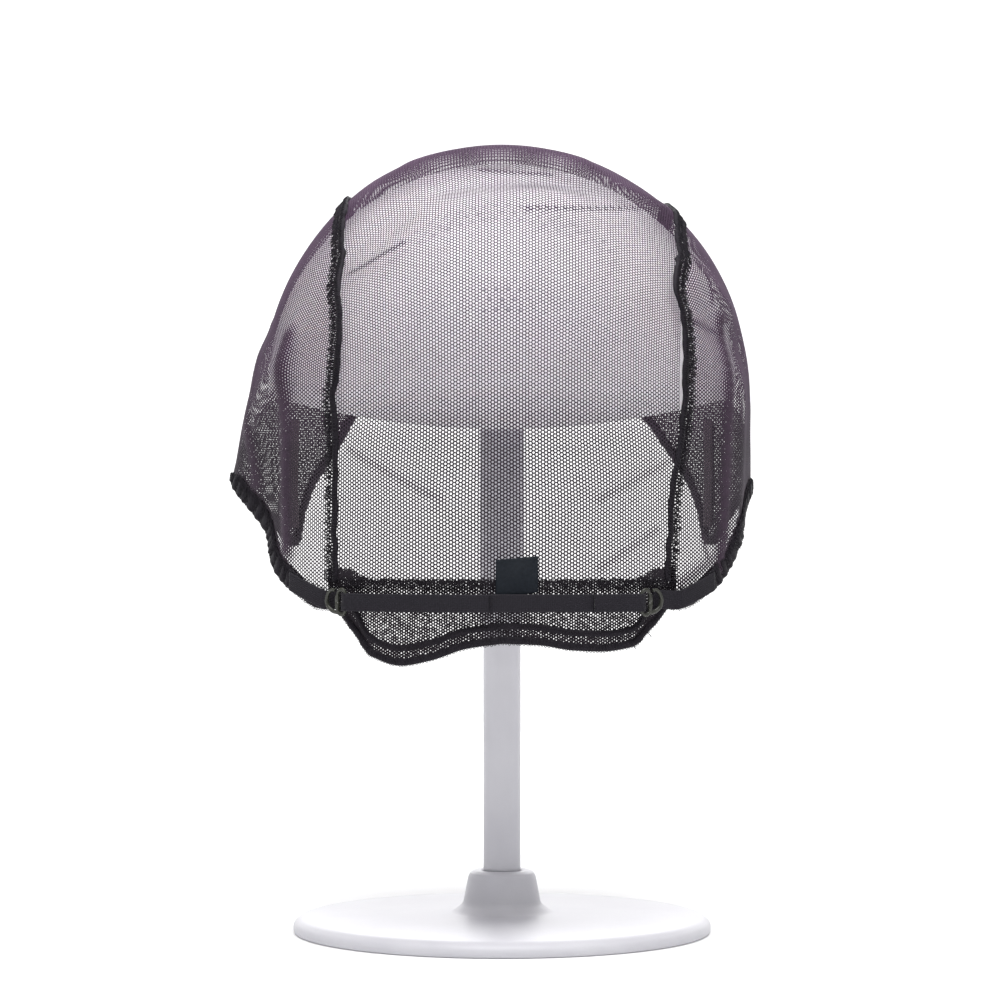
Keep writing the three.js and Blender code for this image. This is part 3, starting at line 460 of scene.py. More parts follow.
def form_point(azimuth, drop, radius):
    rise = np.maximum(0, -drop) / CAP_RADIUS
    level = FLOOR_TO_EQUATOR + np.where(drop < 0, radius * np.sin(rise), -drop)
    reach = radius * np.cos(rise)
    return np.stack([reach * np.sin(azimuth), -reach * np.cos(azimuth), level], -1)


def gathered(azimuth, drop):
    """How far the narrow folds close the net at each place."""
    place = form_point(azimuth, drop, CAP_RADIUS)
    close = np.zeros(len(place))
    share = np.linspace(0, 1, 24)
    for azimuth1, drop1, azimuth2, drop2, half, closing in GATHERS:
        turn = np.radians(azimuth1 + (azimuth2 - azimuth1) * share)
        line = form_point(turn, (drop1 + (drop2 - drop1) * share) * NAPE_DROP, CAP_RADIUS)
        off = np.min([np.linalg.norm(place - knot, axis=1) for knot in line], axis=0)
        close = np.maximum(close, closing * np.exp(-((off / half) ** 2)))
    return close


def cap_point(azimuth, drop, lift=0.0):
    """A place on the cap: azimuth round from the nape, drop down from the equator, in mm."""
    azimuth, drop, lift = np.broadcast_arrays(
        np.asarray(azimuth, float), np.asarray(drop, float), np.asarray(lift, float)
    )
    azimuth = (azimuth + pi) % (2 * pi) - pi
    bell = np.exp(-(((np.abs(azimuth) - np.radians(92)) / np.radians(18)) ** 2))
    bulge = read_rows(SIDE_BULGE, azimuth, drop / NAPE_DROP) * bell * CAP_RADIUS
    plain = form_point(azimuth, drop, CAP_RADIUS)
    for azimuth1, drop1, azimuth2, drop2, width, height in FOLDS:
        start = form_point(np.radians(azimuth1), np.array(drop1 * NAPE_DROP), CAP_RADIUS)
        run = form_point(np.radians(azimuth2), np.array(drop2 * NAPE_DROP), CAP_RADIUS) - start
        share = np.clip((plain - start) @ run / (run @ run), 0, 1)
        off = np.linalg.norm(plain - start - share[..., None] * run, axis=-1)
        bulge = bulge + height * np.exp(-((off / (width * CAP_RADIUS)) ** 2))
    return form_point(azimuth, drop, CAP_RADIUS + np.maximum(bulge, -2.4) + lift)


def lower_edge(azimuth):
    azimuth = (azimuth + pi) % (2 * pi) - pi
    return read_rows(EDGE_ROWS, azimuth, np.degrees(np.abs(azimuth))) * NAPE_DROP


def cloth_edge(azimuth):
    return lower_edge(azimuth) - BINDING_WALL - CLEARANCE


def seam_across(side, along):
    return SEAM_REACH * read_rows(SEAM_ROWS, side, along)


def panel_foot(azimuth):
    turn = np.degrees(np.abs(azimuth))
    tab_top = read_rows(TAB_TOP_ROWS, azimuth, turn) * NAPE_DROP
    return np.where(turn <= 90, cloth_edge(azimuth), tab_top)


def crown_place(across, swing):
    ring = np.sqrt(CAP_RADIUS**2 - across**2)
    rise = np.arcsin(np.minimum(1, ring * np.sin(swing) / CAP_RADIUS))
    return np.arctan2(across, ring * np.cos(swing)), -rise * CAP_RADIUS


def strip_place(flat):
    """Flat places on the middle strip to azimuth and drop: across the strip, and up from the equator."""
    across = CAP_RADIUS * np.sin(flat[:, 0] / CAP_RADIUS)
    swing = np.maximum(flat[:, 1], 0) / CAP_RADIUS
    azimuth, drop = crown_place(across, swing)
    return azimuth, np.where(flat[:, 1] > 0, drop, -flat[:, 1])


def side_place(side):
    def placed(flat):
        turn = flat[:, 0] / CAP_RADIUS
        rise = np.maximum(flat[:, 1], 0) / CAP_RADIUS
        ring = CAP_RADIUS * np.cos(turn)
        azimuth = np.arctan2(side * ring * np.cos(rise), -side * CAP_RADIUS * np.sin(turn))
        drop = -np.arcsin(np.clip(ring * np.sin(rise) / CAP_RADIUS, -1, 1)) * CAP_RADIUS
        return azimuth, np.where(flat[:, 1] > 0, drop, -flat[:, 1])

    return placed


def seam_along(azimuth, drop):
    """The place along a seam, as in SEAM_ROWS, that lies beside a place on the cap."""
    place = form_point(azimuth, drop, CAP_RADIUS)
    swing = np.arctan2(place[..., 2] - FLOOR_TO_EQUATOR, -place[..., 1])
    hanging = np.where(np.abs(azimuth) < pi / 2, -drop / NAPE_DROP, 1)
    return np.where(drop < 0, swing / pi, hanging)


HEX_X = np.array([2, 1, -1, -2, -1, 1])
HEX_Y = np.array([0, 1, 1, 0, -1, -1])


def openwork(name, low, high, pitch, kept, placed, opening, spread, uneven, thread, lift, seed):
    """Net or lace between two flat corners: each hole is a six-sided ring of thread."""
    draw = np.random.default_rng(seed)
    step = pitch * sqrt(3) / 2
    columns = np.arange(floor(low[0] / step), ceil(high[0] / step) + 1)
    rows = np.arange(floor(low[1] / pitch) - 1, ceil(high[1] / pitch) + 1)
    column, row = (grid.ravel() for grid in np.meshgrid(columns, rows))
    level = 2 * row + column % 2
    flat = np.stack([column * step, level * pitch / 2], -1)
    held = kept(flat, *placed(flat))
    column, level, flat = column[held], level[held], flat[held]
    key = (3 * column[:, None] + HEX_X) * 100000 + (level[:, None] + HEX_Y)
    kinds, corner = np.unique(key.ravel(), return_inverse=True)
    across = np.round(kinds / 100000).astype(int)
    knots = np.stack([across * step / 3, (kinds - across * 100000) * pitch / 2], -1)
    knots += draw.normal(0, uneven * pitch, knots.shape)
    corner = corner.reshape(-1, 6)
    azimuth, drop = placed(flat)
    close = gathered(azimuth, drop)
    opened = np.maximum(opening(azimuth, drop) - close, LEAST_OPEN)
    opened = np.maximum(opened + spread * draw.uniform(-1, 1, len(flat)), LEAST_OPEN)
    middle = knots[corner].mean(axis=1, keepdims=True)
    inner = middle + (knots[corner] - middle) * opened[:, None, None]
    flat = np.concatenate([knots, inner.reshape(-1, 2)])
    raised = np.concatenate([np.full(len(knots), thread), np.zeros(len(corner) * 6)])
    around = np.repeat(close, 6)
    meeting = np.bincount(corner.ravel(), around) / np.bincount(corner.ravel())
    folded = np.concatenate([meeting, around])
    azimuth, drop = placed(flat)
    points = cap_point(azimuth, drop, raised + lift + FOLD_RISE * folded)
    ring = len(knots) + np.arange(len(corner) * 6).reshape(-1, 6)
    quads = np.stack([corner, np.roll(corner, -1, 1), np.roll(ring, -1, 1), ring], -1)
    piece = mesh_piece(name, points, quads.reshape(-1, 4))
    layer = piece.data.attributes.new("gathered", "FLOAT", "POINT")
    layer.data.foreach_set("value", folded.astype(np.float32))
    return piece


def thread_area(piece):
    sizes = np.empty(len(piece.data.polygons), np.float32)
    piece.data.polygons.foreach_get("area", sizes)
    return float(sizes.sum())


NET_PITCH = 1.25
NET_THREAD = 0.14
NET_LIFT = -0.3


def strip_opening(azimuth, drop):
    """Wide where the strip is stretched on the dome, closer below it and where it lies doubled on top."""
    hanging = np.clip((drop - 2) / 16, 0, 1)
    swing = np.degrees(pi * seam_along(azimuth, drop))
    doubled = np.clip((swing - 63) / 5, 0, 1) * np.clip((118 - swing) / 8, 0, 1) * (drop < 0)
    return 0.71 - 0.11 * hanging - 0.15 * doubled


def side_opening(azimuth, drop):
    """Closer towards the ears, where the side nets hang slack, and more so on the right."""
    right = np.clip(np.degrees(azimuth) / 10, 0, 1)
    slack = np.clip(drop / 40, 0, 1) * np.clip((np.degrees(np.abs(azimuth)) - 50) / 20, 0, 1)
    return 0.62 - 0.04 * right - (0.06 + 0.1 * right) * slack


yarn, place = finish(
    "net_thread",
    Specular_IOR_Level=0.15,
    Sheen_Weight=0.06,
    Sheen_Roughness=0.4,
    Sheen_Tint=(0.8, 0.65, 0.85, 1),
)
drift = place.noise(60, 3)
fibre = place.noise(4200, 2)
# painted light: the thread's tint is a lighter purple on the dome's top, above the equator, and darker
# where the net hangs below it, for the light that falls from above
height = place.node("ShaderNodeSeparateXYZ", {}, {0: place}, 2)
painted_light_height = height.node("ShaderNodeMapRange", {}, {0: height, 1: 0.172, 2: 0.2})
folded = place.node("ShaderNodeAttribute", {"attribute_name": "gathered"}, {}, 2)
mottle = drift * 0.6 + fibre * 0.4
# painted shade below the equator and painted light above it: two tints of the one thread
shaded_low_tint = mottle.ramp((0.3, (0.018, 0.014, 0.019)), (0.7, (0.036, 0.028, 0.038)))
lit_high_tint = mottle.ramp((0.3, (0.036, 0.021, 0.038)), (0.7, (0.066, 0.038, 0.069)))
# painted shade: the narrow folds, where the net lies doubled, take their own dull purple in place of the
# painted light over the dome
fold_shade_tint = mottle.ramp((0.3, (0.030, 0.018, 0.031)), (0.7, (0.046, 0.028, 0.047)))
tint = mottle.node("ShaderNodeMix", {"data_type": "RGBA"}, {0: painted_light_height, 6: shaded_low_tint, 7: lit_high_tint}, 2)
tint = mottle.node("ShaderNodeMix", {"data_type": "RGBA"}, {0: folded * 2, 6: tint, 7: fold_shade_tint}, 2)
lay_on(yarn, tint, 0.5 + fibre * 0.2, fibre, 0.00005)


def on_strip(low, high):
    def kept(flat, azimuth, drop):
        along = np.where(flat[:, 1] > 0, flat[:, 1] / (pi * CAP_RADIUS), flat[:, 1] / NAPE_DROP)
        across = CAP_RADIUS * np.sin(flat[:, 0] / CAP_RADIUS)
        inside = np.abs(across) < seam_across(across, along) - CLEARANCE
        ends = (drop < BAND_TOP) & ((flat[:, 1] <= 0) | (drop < cloth_edge(azimuth)))
        return inside & ends & (flat[:, 1] > low) & (flat[:, 1] <= high)

    return kept


def on_side(side):
    def kept(flat, azimuth, drop):
        plain = form_point(azimuth, drop, CAP_RADIUS)
        beyond = side * plain[:, 0] > seam_across(side, seam_along(azimuth, drop)) + CLEARANCE
        return beyond & (drop < panel_foot(azimuth))

    return kept


STRIP_PARTS = (("back", -70, 38), ("top", 38, 150), ("front", 150, 276))
for part, low, high in STRIP_PARTS:
    piece = openwork(
        f"net_strip_{part}", (-68, low), (68, high), NET_PITCH, on_strip(low, high), strip_place,
        strip_opening, 0.02, 0.02, NET_THREAD, NET_LIFT, 11,
    )
    dress(piece, yarn, "net", "crown_panel")
    thread_area(piece)
for hand, side in (("left", -1), ("right", 1)):
    piece = openwork(
        f"net_side_{hand}", (-80, -76), (80, 76), NET_PITCH, on_side(side), side_place(side),
        side_opening, 0.02, 0.02, NET_THREAD, NET_LIFT, 12,
    )
    dress(piece, yarn, "net", f"side_panel_{hand}")
    thread_area(piece)


# The two long seams that join the strip to the side pieces.
# Both cloths are overlocked together in black thread: a tight roll on the strip's side, and open
# loops of the same thread that reach over the side piece.
def tube(path, radii, sides=4):
    """Rings of points of a round thread along a path; its radius may change along it."""
    path = np.asarray(path, float)
    ahead = np.gradient(path, axis=0)
    ahead /= np.linalg.norm(ahead, axis=1, keepdims=True)
    helper = np.array([0, 0, 1.0]) if abs(ahead[:, 2]).mean() < 0.8 else np.array([1.0, 0, 0])
    left = np.cross(helper, ahead)
    left /= np.linalg.norm(left, axis=1, keepdims=True)
    over = np.cross(ahead, left)
    turn = np.arange(sides) * 2 * pi / sides
    radii = np.broadcast_to(radii, len(path))[:, None, None]
    ring = np.cos(turn)[:, None] * left[:, None] + np.sin(turn)[:, None] * over[:, None]
    return path[:, None] + radii * ring


def ringed(name, rings):
    """A closed solid through a row of alike rings of points, with its faces outward."""
    stations, sides = rings.shape[:2]
    points = rings.reshape(-1, 3)
    ring, side = np.divmod(np.arange((stations - 1) * sides), sides)
    after = (side + 1) % sides
    quads = np.stack(
        [ring * sides + side, ring * sides + after, (ring + 1) * sides + after, (ring + 1) * sides + side],
        -1,
    )
    ends = np.stack([np.arange(sides)[::-1], (stations - 1) * sides + np.arange(sides)])
    a, b, c, d = (points[quads[:, n]] for n in range(4))
    volume = (np.cross(b, c) * a).sum() + (np.cross(c, d) * a).sum()
    if volume < 0:
        quads, ends = quads[:, ::-1], ends[:, ::-1]
    piece = mesh_piece(name, points, quads, ends)
    length = np.linalg.norm(np.diff(rings.mean(axis=1), axis=0), axis=1)
    length = np.concatenate([[0], np.cumsum(length)])
    width = np.linalg.norm(rings - rings[:, :1], axis=-1)
    cloth = np.stack(np.broadcast_arrays(length[:, None], width, 0), -1) / 1000
    layer = piece.data.attributes.new("cloth", "FLOAT_VECTOR", "POINT")
    layer.data.foreach_set("vector", cloth.astype(np.float32).ravel())
    return piece


def joined(name, pieces):
    """Several pieces made one."""
    with bpy.context.temp_override(
        active_object=pieces[0], selected_editable_objects=pieces, selected_objects=pieces
    ):
        bpy.ops.object.join()
    pieces[0].name = name
    return pieces[0]


def stitch_shape(name, path, radius):
    """One loop of thread, in millimetres: x along the row, y across it, z off the cloth."""
    return ringed(name, tube(path, radius, 4))


black, place = finish("overlock_thread", Specular_IOR_Level=0.1, Sheen_Weight=0.04, Sheen_Roughness=0.4)
lint = place.noise(2600, 2)
lay_on(
    black,
    lint.ramp((0.3, (0.006, 0.005, 0.008)), (0.75, (0.019, 0.016, 0.021))),
    0.5 + lint * 0.25,
    lint + place.noise(900, 2) * 0.8,
    0.0001,
)

loop = stitch_shape(
    "loop",
    [
        (-0.6, -0.5, 0.2), (-0.4, 0.8, 0.6), (-0.1, 2.4, 0.4),
        (0.3, 2.5, 0.35), (0.5, 0.7, 0.6), (0.8, -0.6, 0.3),
    ],
    0.22,
)
wrap = stitch_shape(
    "wrap", [(-0.5, -0.95, -0.3), (-0.2, -0.6, 0.3), (0.1, 0.3, 0.35), (0.35, 0.9, -0.2)], 0.2
)


def seam_places(side, stations, across):
    """Azimuth and drop beside a seam: stations run up from the nape band and over to the front."""
    hanging = stations < 0
    along = np.where(hanging, stations / NAPE_DROP, stations / (pi * CAP_RADIUS))
    reach = seam_across(side, along) + across
    azimuth, drop = crown_place(reach, np.maximum(stations, 0) / CAP_RADIUS)
    drop = np.where(hanging, -stations, drop)
    azimuth = np.where(hanging, np.arcsin(reach / CAP_RADIUS), azimuth)
    return side * azimuth, drop


SEAM_ROLL = ((-1.5, 0.1), (-1.4, 0.75), (-0.9, 1.15), (-0.2, 1.1), (0.3, 0.6), (0.4, 0.1), (-0.5, -0.1))


def seam_rings(side, stations, profile, wander):
    across, lift = (np.array(column) for column in zip(*profile))
    sway = wander[:, None]
    azimuth, drop = seam_places(side, stations[:, None], across[None] + sway)
    return cap_point(azimuth, drop, lift[None] + 0.5 * sway)


def wave(count, size, seed, smoothness=3):
    """A smooth, uneven row of offsets."""
    draw = np.random.default_rng(seed).normal(0, 1, count + 2 * smoothness)
    kernel = np.hanning(2 * smoothness + 1)
    return np.convolve(draw, kernel / kernel.sum(), "valid") * size


for hand, side in (("left", -1), ("right", 1)):
    stations = np.arange(-BAND_TOP + 0.3, pi * CAP_RADIUS - 6, 1.3)
    roll = ringed(f"seam_roll_{hand}", seam_rings(side, stations, SEAM_ROLL, wave(len(stations), 0.3, 21)))
    roll.data.materials.append(black)
    rows = [roll]
    for label, shape, across, lift, step, seed in (
        ("loops", loop, 0.35, 0.25, 1.1, 22),
        ("fringe", loop, 1.3, 0.2, 1.7, 24),
        ("wraps", wrap, -0.55, 1.0, 1.05, 23),
    ):
        stations = np.arange(-BAND_TOP + 0.8, pi * CAP_RADIUS - 7, step)
        azimuth, drop = seam_places(side, stations, across + wave(len(stations), 0.12, seed))
        centre = cap_point(azimuth, drop, lift)
        above = cap_point(azimuth, drop, lift + 1)
        along = -side * np.gradient(centre, axis=0)
        row = set_out_on(
            f"seam_{label}_{hand}", centre, along, above - centre, shape, black, 0.35, 0.75, seed
        )
        rows.append(row)
    dress(joined(f"seam_{hand}", rows), black, "thread", f"seam_{hand}")


# The nape band, its stitched line and its bound edge.
# Dense dark stretch lace sewn to the net above, with a narrow elastic stitched along it inside and
# a narrow folded binding, whipped over with thread, along its two lobes.
LACE_PITCH = 1.0
LACE_SPREAD = 0.16
BAND_LAP = 1.6
CORNER_LAP = 3.2
LINE_RISE = 5.0


def band_edge(azimuth):
    """The band's and hems' edge, which stands a little fuller at the corners, behind the hooks."""
    turn = np.degrees(np.abs(azimuth))
    fuller = 3.2 * np.exp(-(((turn - 37) / 4.5) ** 2))
    return cloth_edge(azimuth) + np.maximum(fuller, 3.4 * np.exp(-(((turn - 44) / 7) ** 2)))


def band_corner(azimuth):
    """How near a place is to the band's two ends, where the cloths are sewn over one another."""
    return np.clip((np.degrees(np.abs(azimuth)) - 31.5) / 4, 0, 1)


def band_opening(azimuth, drop):
    """Tight at its ends, where it laps over the net and below the stitched line, more open between."""
    lap = np.clip((drop - BAND_TOP - 2) / 3, 0, 1)
    hem = np.clip((lower_edge(azimuth) - drop - LINE_RISE) / 1.5, 0, 1)
    return 0.24 + 0.13 * lap * hem - 0.4 * band_corner(azimuth)


def tab_opening(azimuth, drop):
    return np.full(np.shape(azimuth), 0.4)


lace, place = finish("lace_thread", Specular_IOR_Level=0.1, Sheen_Weight=0.05, Sheen_Roughness=0.4)
drift = place.noise(140, 2)
fibre = place.noise(4200, 2)
lay_on(
    lace,
    (drift * 0.5 + fibre * 0.5).ramp((0.3, (0.009, 0.007, 0.010)), (0.7, (0.027, 0.022, 0.028))),
    0.5 + fibre * 0.2,
    fibre,
    0.00005,
)


def round_place(flat):
    return flat[:, 0] / CAP_RADIUS, -flat[:, 1]


def on_band(flat, azimuth, drop):
    across = CAP_RADIUS * np.sin(azimuth)
    inside = np.abs(across) < SEAM_REACH * 1.03
    top = BAND_TOP - BAND_LAP - CORNER_LAP * band_corner(azimuth)
    return inside & (drop > top) & (drop < band_edge(azimuth) + 0.4)


band = openwork(
    "nape_lace", (-66, -97), (66, -60), LACE_PITCH, on_band, round_place,
    band_opening, LACE_SPREAD, 0.1, 0.2, NET_LIFT + 0.3, 31,
)
dress(band, lace, "lace", "nape_band")
thread_area(band)


def binding(reach):
    """The section of a strip folded over an edge, from its reach above the edge to 1 mm below."""
    outer = [(-reach, 0.35), (-0.6 * reach, 0.6), (-0.2, 0.65), (0.7, 0.45), (1.0, -0.3), (0.7, -1.05)]
    inner = [(-0.2, -1.25), (-reach, -1.2), (-reach, -0.75), (-0.2, -0.7), (0.3, -0.3), (-0.2, -0.05)]
    return outer + inner + [(-reach, 0.0)]


def beside(azimuth, drop, down):
    """The line that runs beside an edge, so far below it."""
    along, slope = np.gradient(azimuth) * CAP_RADIUS, np.gradient(drop)
    length = np.hypot(along, slope)
    return azimuth - down * slope / length / CAP_RADIUS, drop + down * along / length


def edge_rings(azimuth, drop, profile, ruffle, share=1.0):
    """Rings of a strip folded over an edge that runs round the cap at the azimuths and drops."""
    down, lift = (np.array(column)[None] for column in zip(*profile))
    down = down * np.broadcast_to(share, len(azimuth))[:, None]
    along = np.gradient(azimuth) * CAP_RADIUS
    slope = np.gradient(drop)
    length = np.hypot(along, slope)[:, None]
    sway = np.asarray(ruffle)[:, None]
    edge_azimuth = azimuth[:, None] - down * slope[:, None] / length / CAP_RADIUS
    edge_drop = drop[:, None] + down * along[:, None] / length
    return cap_point(edge_azimuth, edge_drop, lift + sway)


def evenly(azimuth, drop, step):
    """The same edge at even steps of its length."""
    place = cap_point(azimuth, drop)
    length = np.concatenate([[0], np.cumsum(np.linalg.norm(np.diff(place, axis=0), axis=1))])
    at = np.linspace(0, length[-1], max(3, round(length[-1] / step)))
    return np.interp(at, length, azimuth), np.interp(at, length, drop)


def whipped(name, azimuth, drop, shape, step, lift, seed, sway=0.4):
    """A row of stitches along an edge."""
    azimuth, drop = evenly(azimuth, drop, step)
    centre = cap_point(azimuth, drop, lift)
    above = cap_point(azimuth, drop, lift + 1)
    along = np.gradient(centre, axis=0)
    return set_out_on(name, centre, along, above - centre, shape, black, sway, 0.7, seed)


def bound_edge(name, azimuth, drop, node, reach=1.9, ruffle=0.0, period=5.0, seed=41):
    """A folded strip over an edge with rows of whipped stitches on it and fine loops below it."""
    azimuth, drop = evenly(azimuth, drop, 0.9)
    count = len(azimuth)
    beat = np.sin(np.arange(count) * 0.9 * 2 * pi / period + 3 * wave(count, 1, seed, 6))
    swing = ruffle * beat * (1 + wave(count, 0.5, seed + 1)) + wave(count, 0.12, seed + 2)
    turn = np.degrees(np.abs(azimuth))
    tuck = np.clip(np.abs(90 - turn) / 7, 0.2, 1) - 0.26 * np.exp(-(((turn - 48) / 6.5) ** 4))
    parts = [ringed(f"{name}_strip", edge_rings(azimuth, drop, binding(reach), swing, tuck))]
    parts[0].data.materials.append(black)
    for n, up in enumerate(np.arange(0.4, reach + 0.3, 1.6)):
        row = beside(azimuth, drop, -up * tuck)
        parts.append(whipped(f"{name}_stitches_{n}", *row, whip, 1.15, 0.45, seed + 3 + 7 * n))
    parts.append(whipped(f"{name}_picots", *beside(azimuth, drop, 0.75), picot, 1.2, -0.2, seed + 4, 0.7))
    dress(joined(name, parts), black, "thread", node)


whip = stitch_shape("whip", [(-0.35, 1.3, -0.2), (-0.25, 0.8, 0.2), (0.05, 0, 0.3), (0.3, -0.9, 0.1)], 0.15)
picot = stitch_shape(
    "picot", [(-0.5, 0.3, 0.1), (-0.4, -0.4, 0.1), (0, -0.8, 0), (0.4, -0.35, 0), (0.5, 0.35, 0)], 0.13
)
band_turn = np.linspace(-1, 1, 220) * np.arcsin(SEAM_REACH * 1.03 / CAP_RADIUS)
bound_edge("nape_edge", band_turn, band_edge(band_turn), "nape_binding", 1.5, 0.12, 4.0, 41)

INNER_LINE = ((-1.1, 0.4), (-1.0, 0.85), (1.0, 0.85), (1.1, 0.4), (0.3, 0.2), (-0.3, 0.2))
line_turn, line_drop = evenly(band_turn[20:-20], cloth_edge(band_turn[20:-20]) - LINE_RISE, 0.9)
line_sway = wave(len(line_turn), 0.1, 51)
inner = ringed("line_elastic", edge_rings(line_turn, line_drop, INNER_LINE, line_sway))
inner.data.materials.append(black)
zigzag = stitch_shape(
    "zigzag", [(-0.6, -0.8, 0.05), (-0.05, 0.85, 0.2), (0.05, 0.85, 0.2), (0.6, -0.8, 0.05)], 0.14
)
zigzags = whipped("line_stitches", line_turn, line_drop, zigzag, 1.25, 0.75, 52, 0.15)
dress(joined("nape_line", [inner, zigzags]), black, "elastic", "nape_elastic")

# the row of overlocking that joins the band's upper edge to the net, and thread ends left long
LAP_ROWS = ((-1.1, 1.3, 53), (0.1, 1.5, 54), (1.2, 1.2, 55))
# degrees from the nape, start above the band's edge, then reach to the side and down
LOOSE_ENDS = ((-27.5, 25, 3.2, -3.0), (-39, 0.8, -2.6, 1.6), (29, 0.8, 1.8, 2.2), (33, 0.8, 2.0, 1.9))
lap_parts = []
for down, step, seed in LAP_ROWS:
    row = band_turn, np.full(len(band_turn), BAND_TOP + down) + wave(len(band_turn), 0.35, seed, 5)
    lap_parts.append(whipped(f"lap_row_{seed}", *row, zigzag, step, 0.35, seed, 0.5))
for turn, rise, over, down in LOOSE_ENDS:
    t = np.linspace(0, 1, 9)
    azimuth = np.radians(turn) + over * t / CAP_RADIUS
    drop = band_edge(azimuth[:1]) - rise + down * t**1.6
    lap_parts.append(ringed("end", tube(cap_point(azimuth, drop, 0.6 + 0.9 * t), 0.13)))
    lap_parts[-1].data.materials.append(black)
dress(joined("nape_lap", lap_parts), black, "thread", "nape_band")


# The ruffled hems round the ear openings.
# The net's edge is turned over a narrow folded strip and overlocked while stretched, so the hem
# ruffles when it hangs free.
for hand, side in (("left", -1), ("right", 1)):
    seam_end = np.arcsin(seam_across(side, -0.79) / CAP_RADIUS)
    turn = side * np.linspace(seam_end + np.radians(1.4), np.radians(90), 160)
    turn = np.sort(turn)
    bound_edge(f"ear_edge_{hand}", turn, band_edge(turn), f"ear_hem_{hand}", 6.2, 0.3, 4.6, 60 + side)


# The tabs in front of the ears, with their bound edges, stays and casings.
# The same stretch lace as the band, overlocked to the side net above, with a flexible plastic stay
# slid into a thin tape casing sewn to its inner face.
def on_tab(side):
    def kept(flat, azimuth, drop):
        turn = np.degrees(np.abs(azimuth))
        inside = (turn > 91) & (turn < 140.6) & (np.sign(azimuth) == side)
        return inside & (drop > panel_foot(azimuth)) & (drop < cloth_edge(azimuth) + 0.4)

    return kept


def across_place(flat):
    """As round_place, for cloth whose rows of holes run across."""
    return -flat[:, 1] / CAP_RADIUS, -flat[:, 0]


TAB_PITCH = 0.95
STAY_TURN = np.radians(116.3)
STAY_TOP = 11.0
STAY_FOOT_GAP = 6.7

bone, place = finish("stay_plastic", Specular_IOR_Level=0.3)
drag = place.noise(700, 2)
lay_on(
    bone,
    drag.ramp((0.3, (0.012, 0.010, 0.012)), (0.7, (0.020, 0.016, 0.019))),
    0.35 + drag * 0.2,
    drag,
    0.00005,
)

sheer, place = finish(
    "casing_tape", Specular_IOR_Level=0.15, Sheen_Weight=0.08, Sheen_Tint=(0.9, 0.8, 0.85, 1)
)
thread_rows = place.node("ShaderNodeTexWave", {"bands_direction": "Z"}, {0: place, "Scale": 520.0})
grain = place.noise(1500, 2)
lay_on(
    sheer,
    (thread_rows * 0.4 + grain * 0.6).ramp((0.25, (0.030, 0.020, 0.026)), (0.8, (0.075, 0.052, 0.062))),
    0.6 + grain * 0.2,
    thread_rows + grain,
    0.00012,
)


def stay_rings(side, stations, halves, low, high):
    """Rings of a flat bar that hangs down the tab, with a half width for each station."""
    corner = np.array([(-1, low), (-0.8, high), (0.8, high), (1, low), (0.8, low - 0.1), (-0.8, low - 0.1)])
    azimuth = side * STAY_TURN + corner[None, :, 0] * np.asarray(halves)[:, None] / CAP_RADIUS
    return cap_point(azimuth, np.asarray(stations)[:, None], corner[None, :, 1])


for hand, side in (("left", -1), ("right", 1)):
    reach = (90 * side, 142 * side)
    low, high = (np.radians(turn) * CAP_RADIUS for turn in sorted(reach))
    tab = openwork(
        f"tab_lace_{hand}", (-60, -high), (4, -low), TAB_PITCH, on_tab(side), across_place,
        tab_opening, 0.08, 0.08, 0.2, NET_LIFT, 71,
    )
    dress(tab, lace, "lace", f"ear_tab_{hand}")
    thread_area(tab)
    turn = np.sort(side * np.radians(np.linspace(91.6, 140.4, 170)))
    bound_edge(f"tab_edge_{hand}", turn, cloth_edge(turn), f"tab_binding_{hand}", 2.2, 0.25, 4.0, 72 + side)

    foot_drop = lower_edge(np.array(side * STAY_TURN)) - STAY_FOOT_GAP
    drops = np.linspace(STAY_TOP, foot_drop, 24)
    ends = np.minimum(drops - STAY_TOP, foot_drop - drops)
    rounded = np.clip(ends / 2.5, 0.06, 1)
    halves = 2.5 * np.sqrt(rounded * (2 - rounded))
    bar = ringed(f"stay_bar_{hand}", stay_rings(side, drops, halves, -2.5, -1.3))
    dress(bar, bone, "bone", f"stay_{hand}")
    drops = np.linspace(STAY_TOP - 1.2, foot_drop, 40)
    halves = 3.1 + wave(len(drops), 0.12, 75)
    casing = ringed(f"casing_{hand}", stay_rings(side, drops, halves, -2.9, -2.65))
    dress(casing, sheer, "casing", f"stay_casing_{hand}")


# The bound front hairline.
# The same narrow folded strip and whipped stitches as at the nape, along the strip's front end.
turn = pi + np.linspace(-1, 1, 160) * np.arcsin(SEAM_REACH * 0.975 / CAP_RADIUS)
bound_edge("hairline", turn, cloth_edge(turn), "front_binding", 2.2, 0.15, 4.0, 81)


# The looped tapes beyond the hooks.
# Ribbed elastic tape, sewn over the ear hem, whose upper edge carries a row of small loops that a
# hook can catch in.
def strip_rings(along, drop, lift, profile):
    """Rings of a flat strip round the cap, which turns with its path and may fold back on itself."""
    across, thick = (np.array(column)[None] for column in zip(*profile))
    run, up = np.gradient(along), np.gradient(lift)
    length = np.hypot(run, up)[:, None]
    azimuth = (along[:, None] - thick * up[:, None] / length) / CAP_RADIUS
    return cap_point(azimuth, drop[:, None] + across, lift[:, None] + thick * run[:, None] / length)


def ribbed_profile(width, thickness, ribs, depth):
    """A flat strip's section with rounded lengthwise ribs on both faces."""
    turn = np.linspace(0, 1, 4 * ribs + 1)
    relief = thickness / 2 - depth + depth * np.abs(np.sin(turn * ribs * pi))
    relief[[0, -1]] = thickness / 4
    across = (turn - 0.5) * width
    return list(zip(across, relief)) + list(zip(across[::-1], -relief[::-1]))


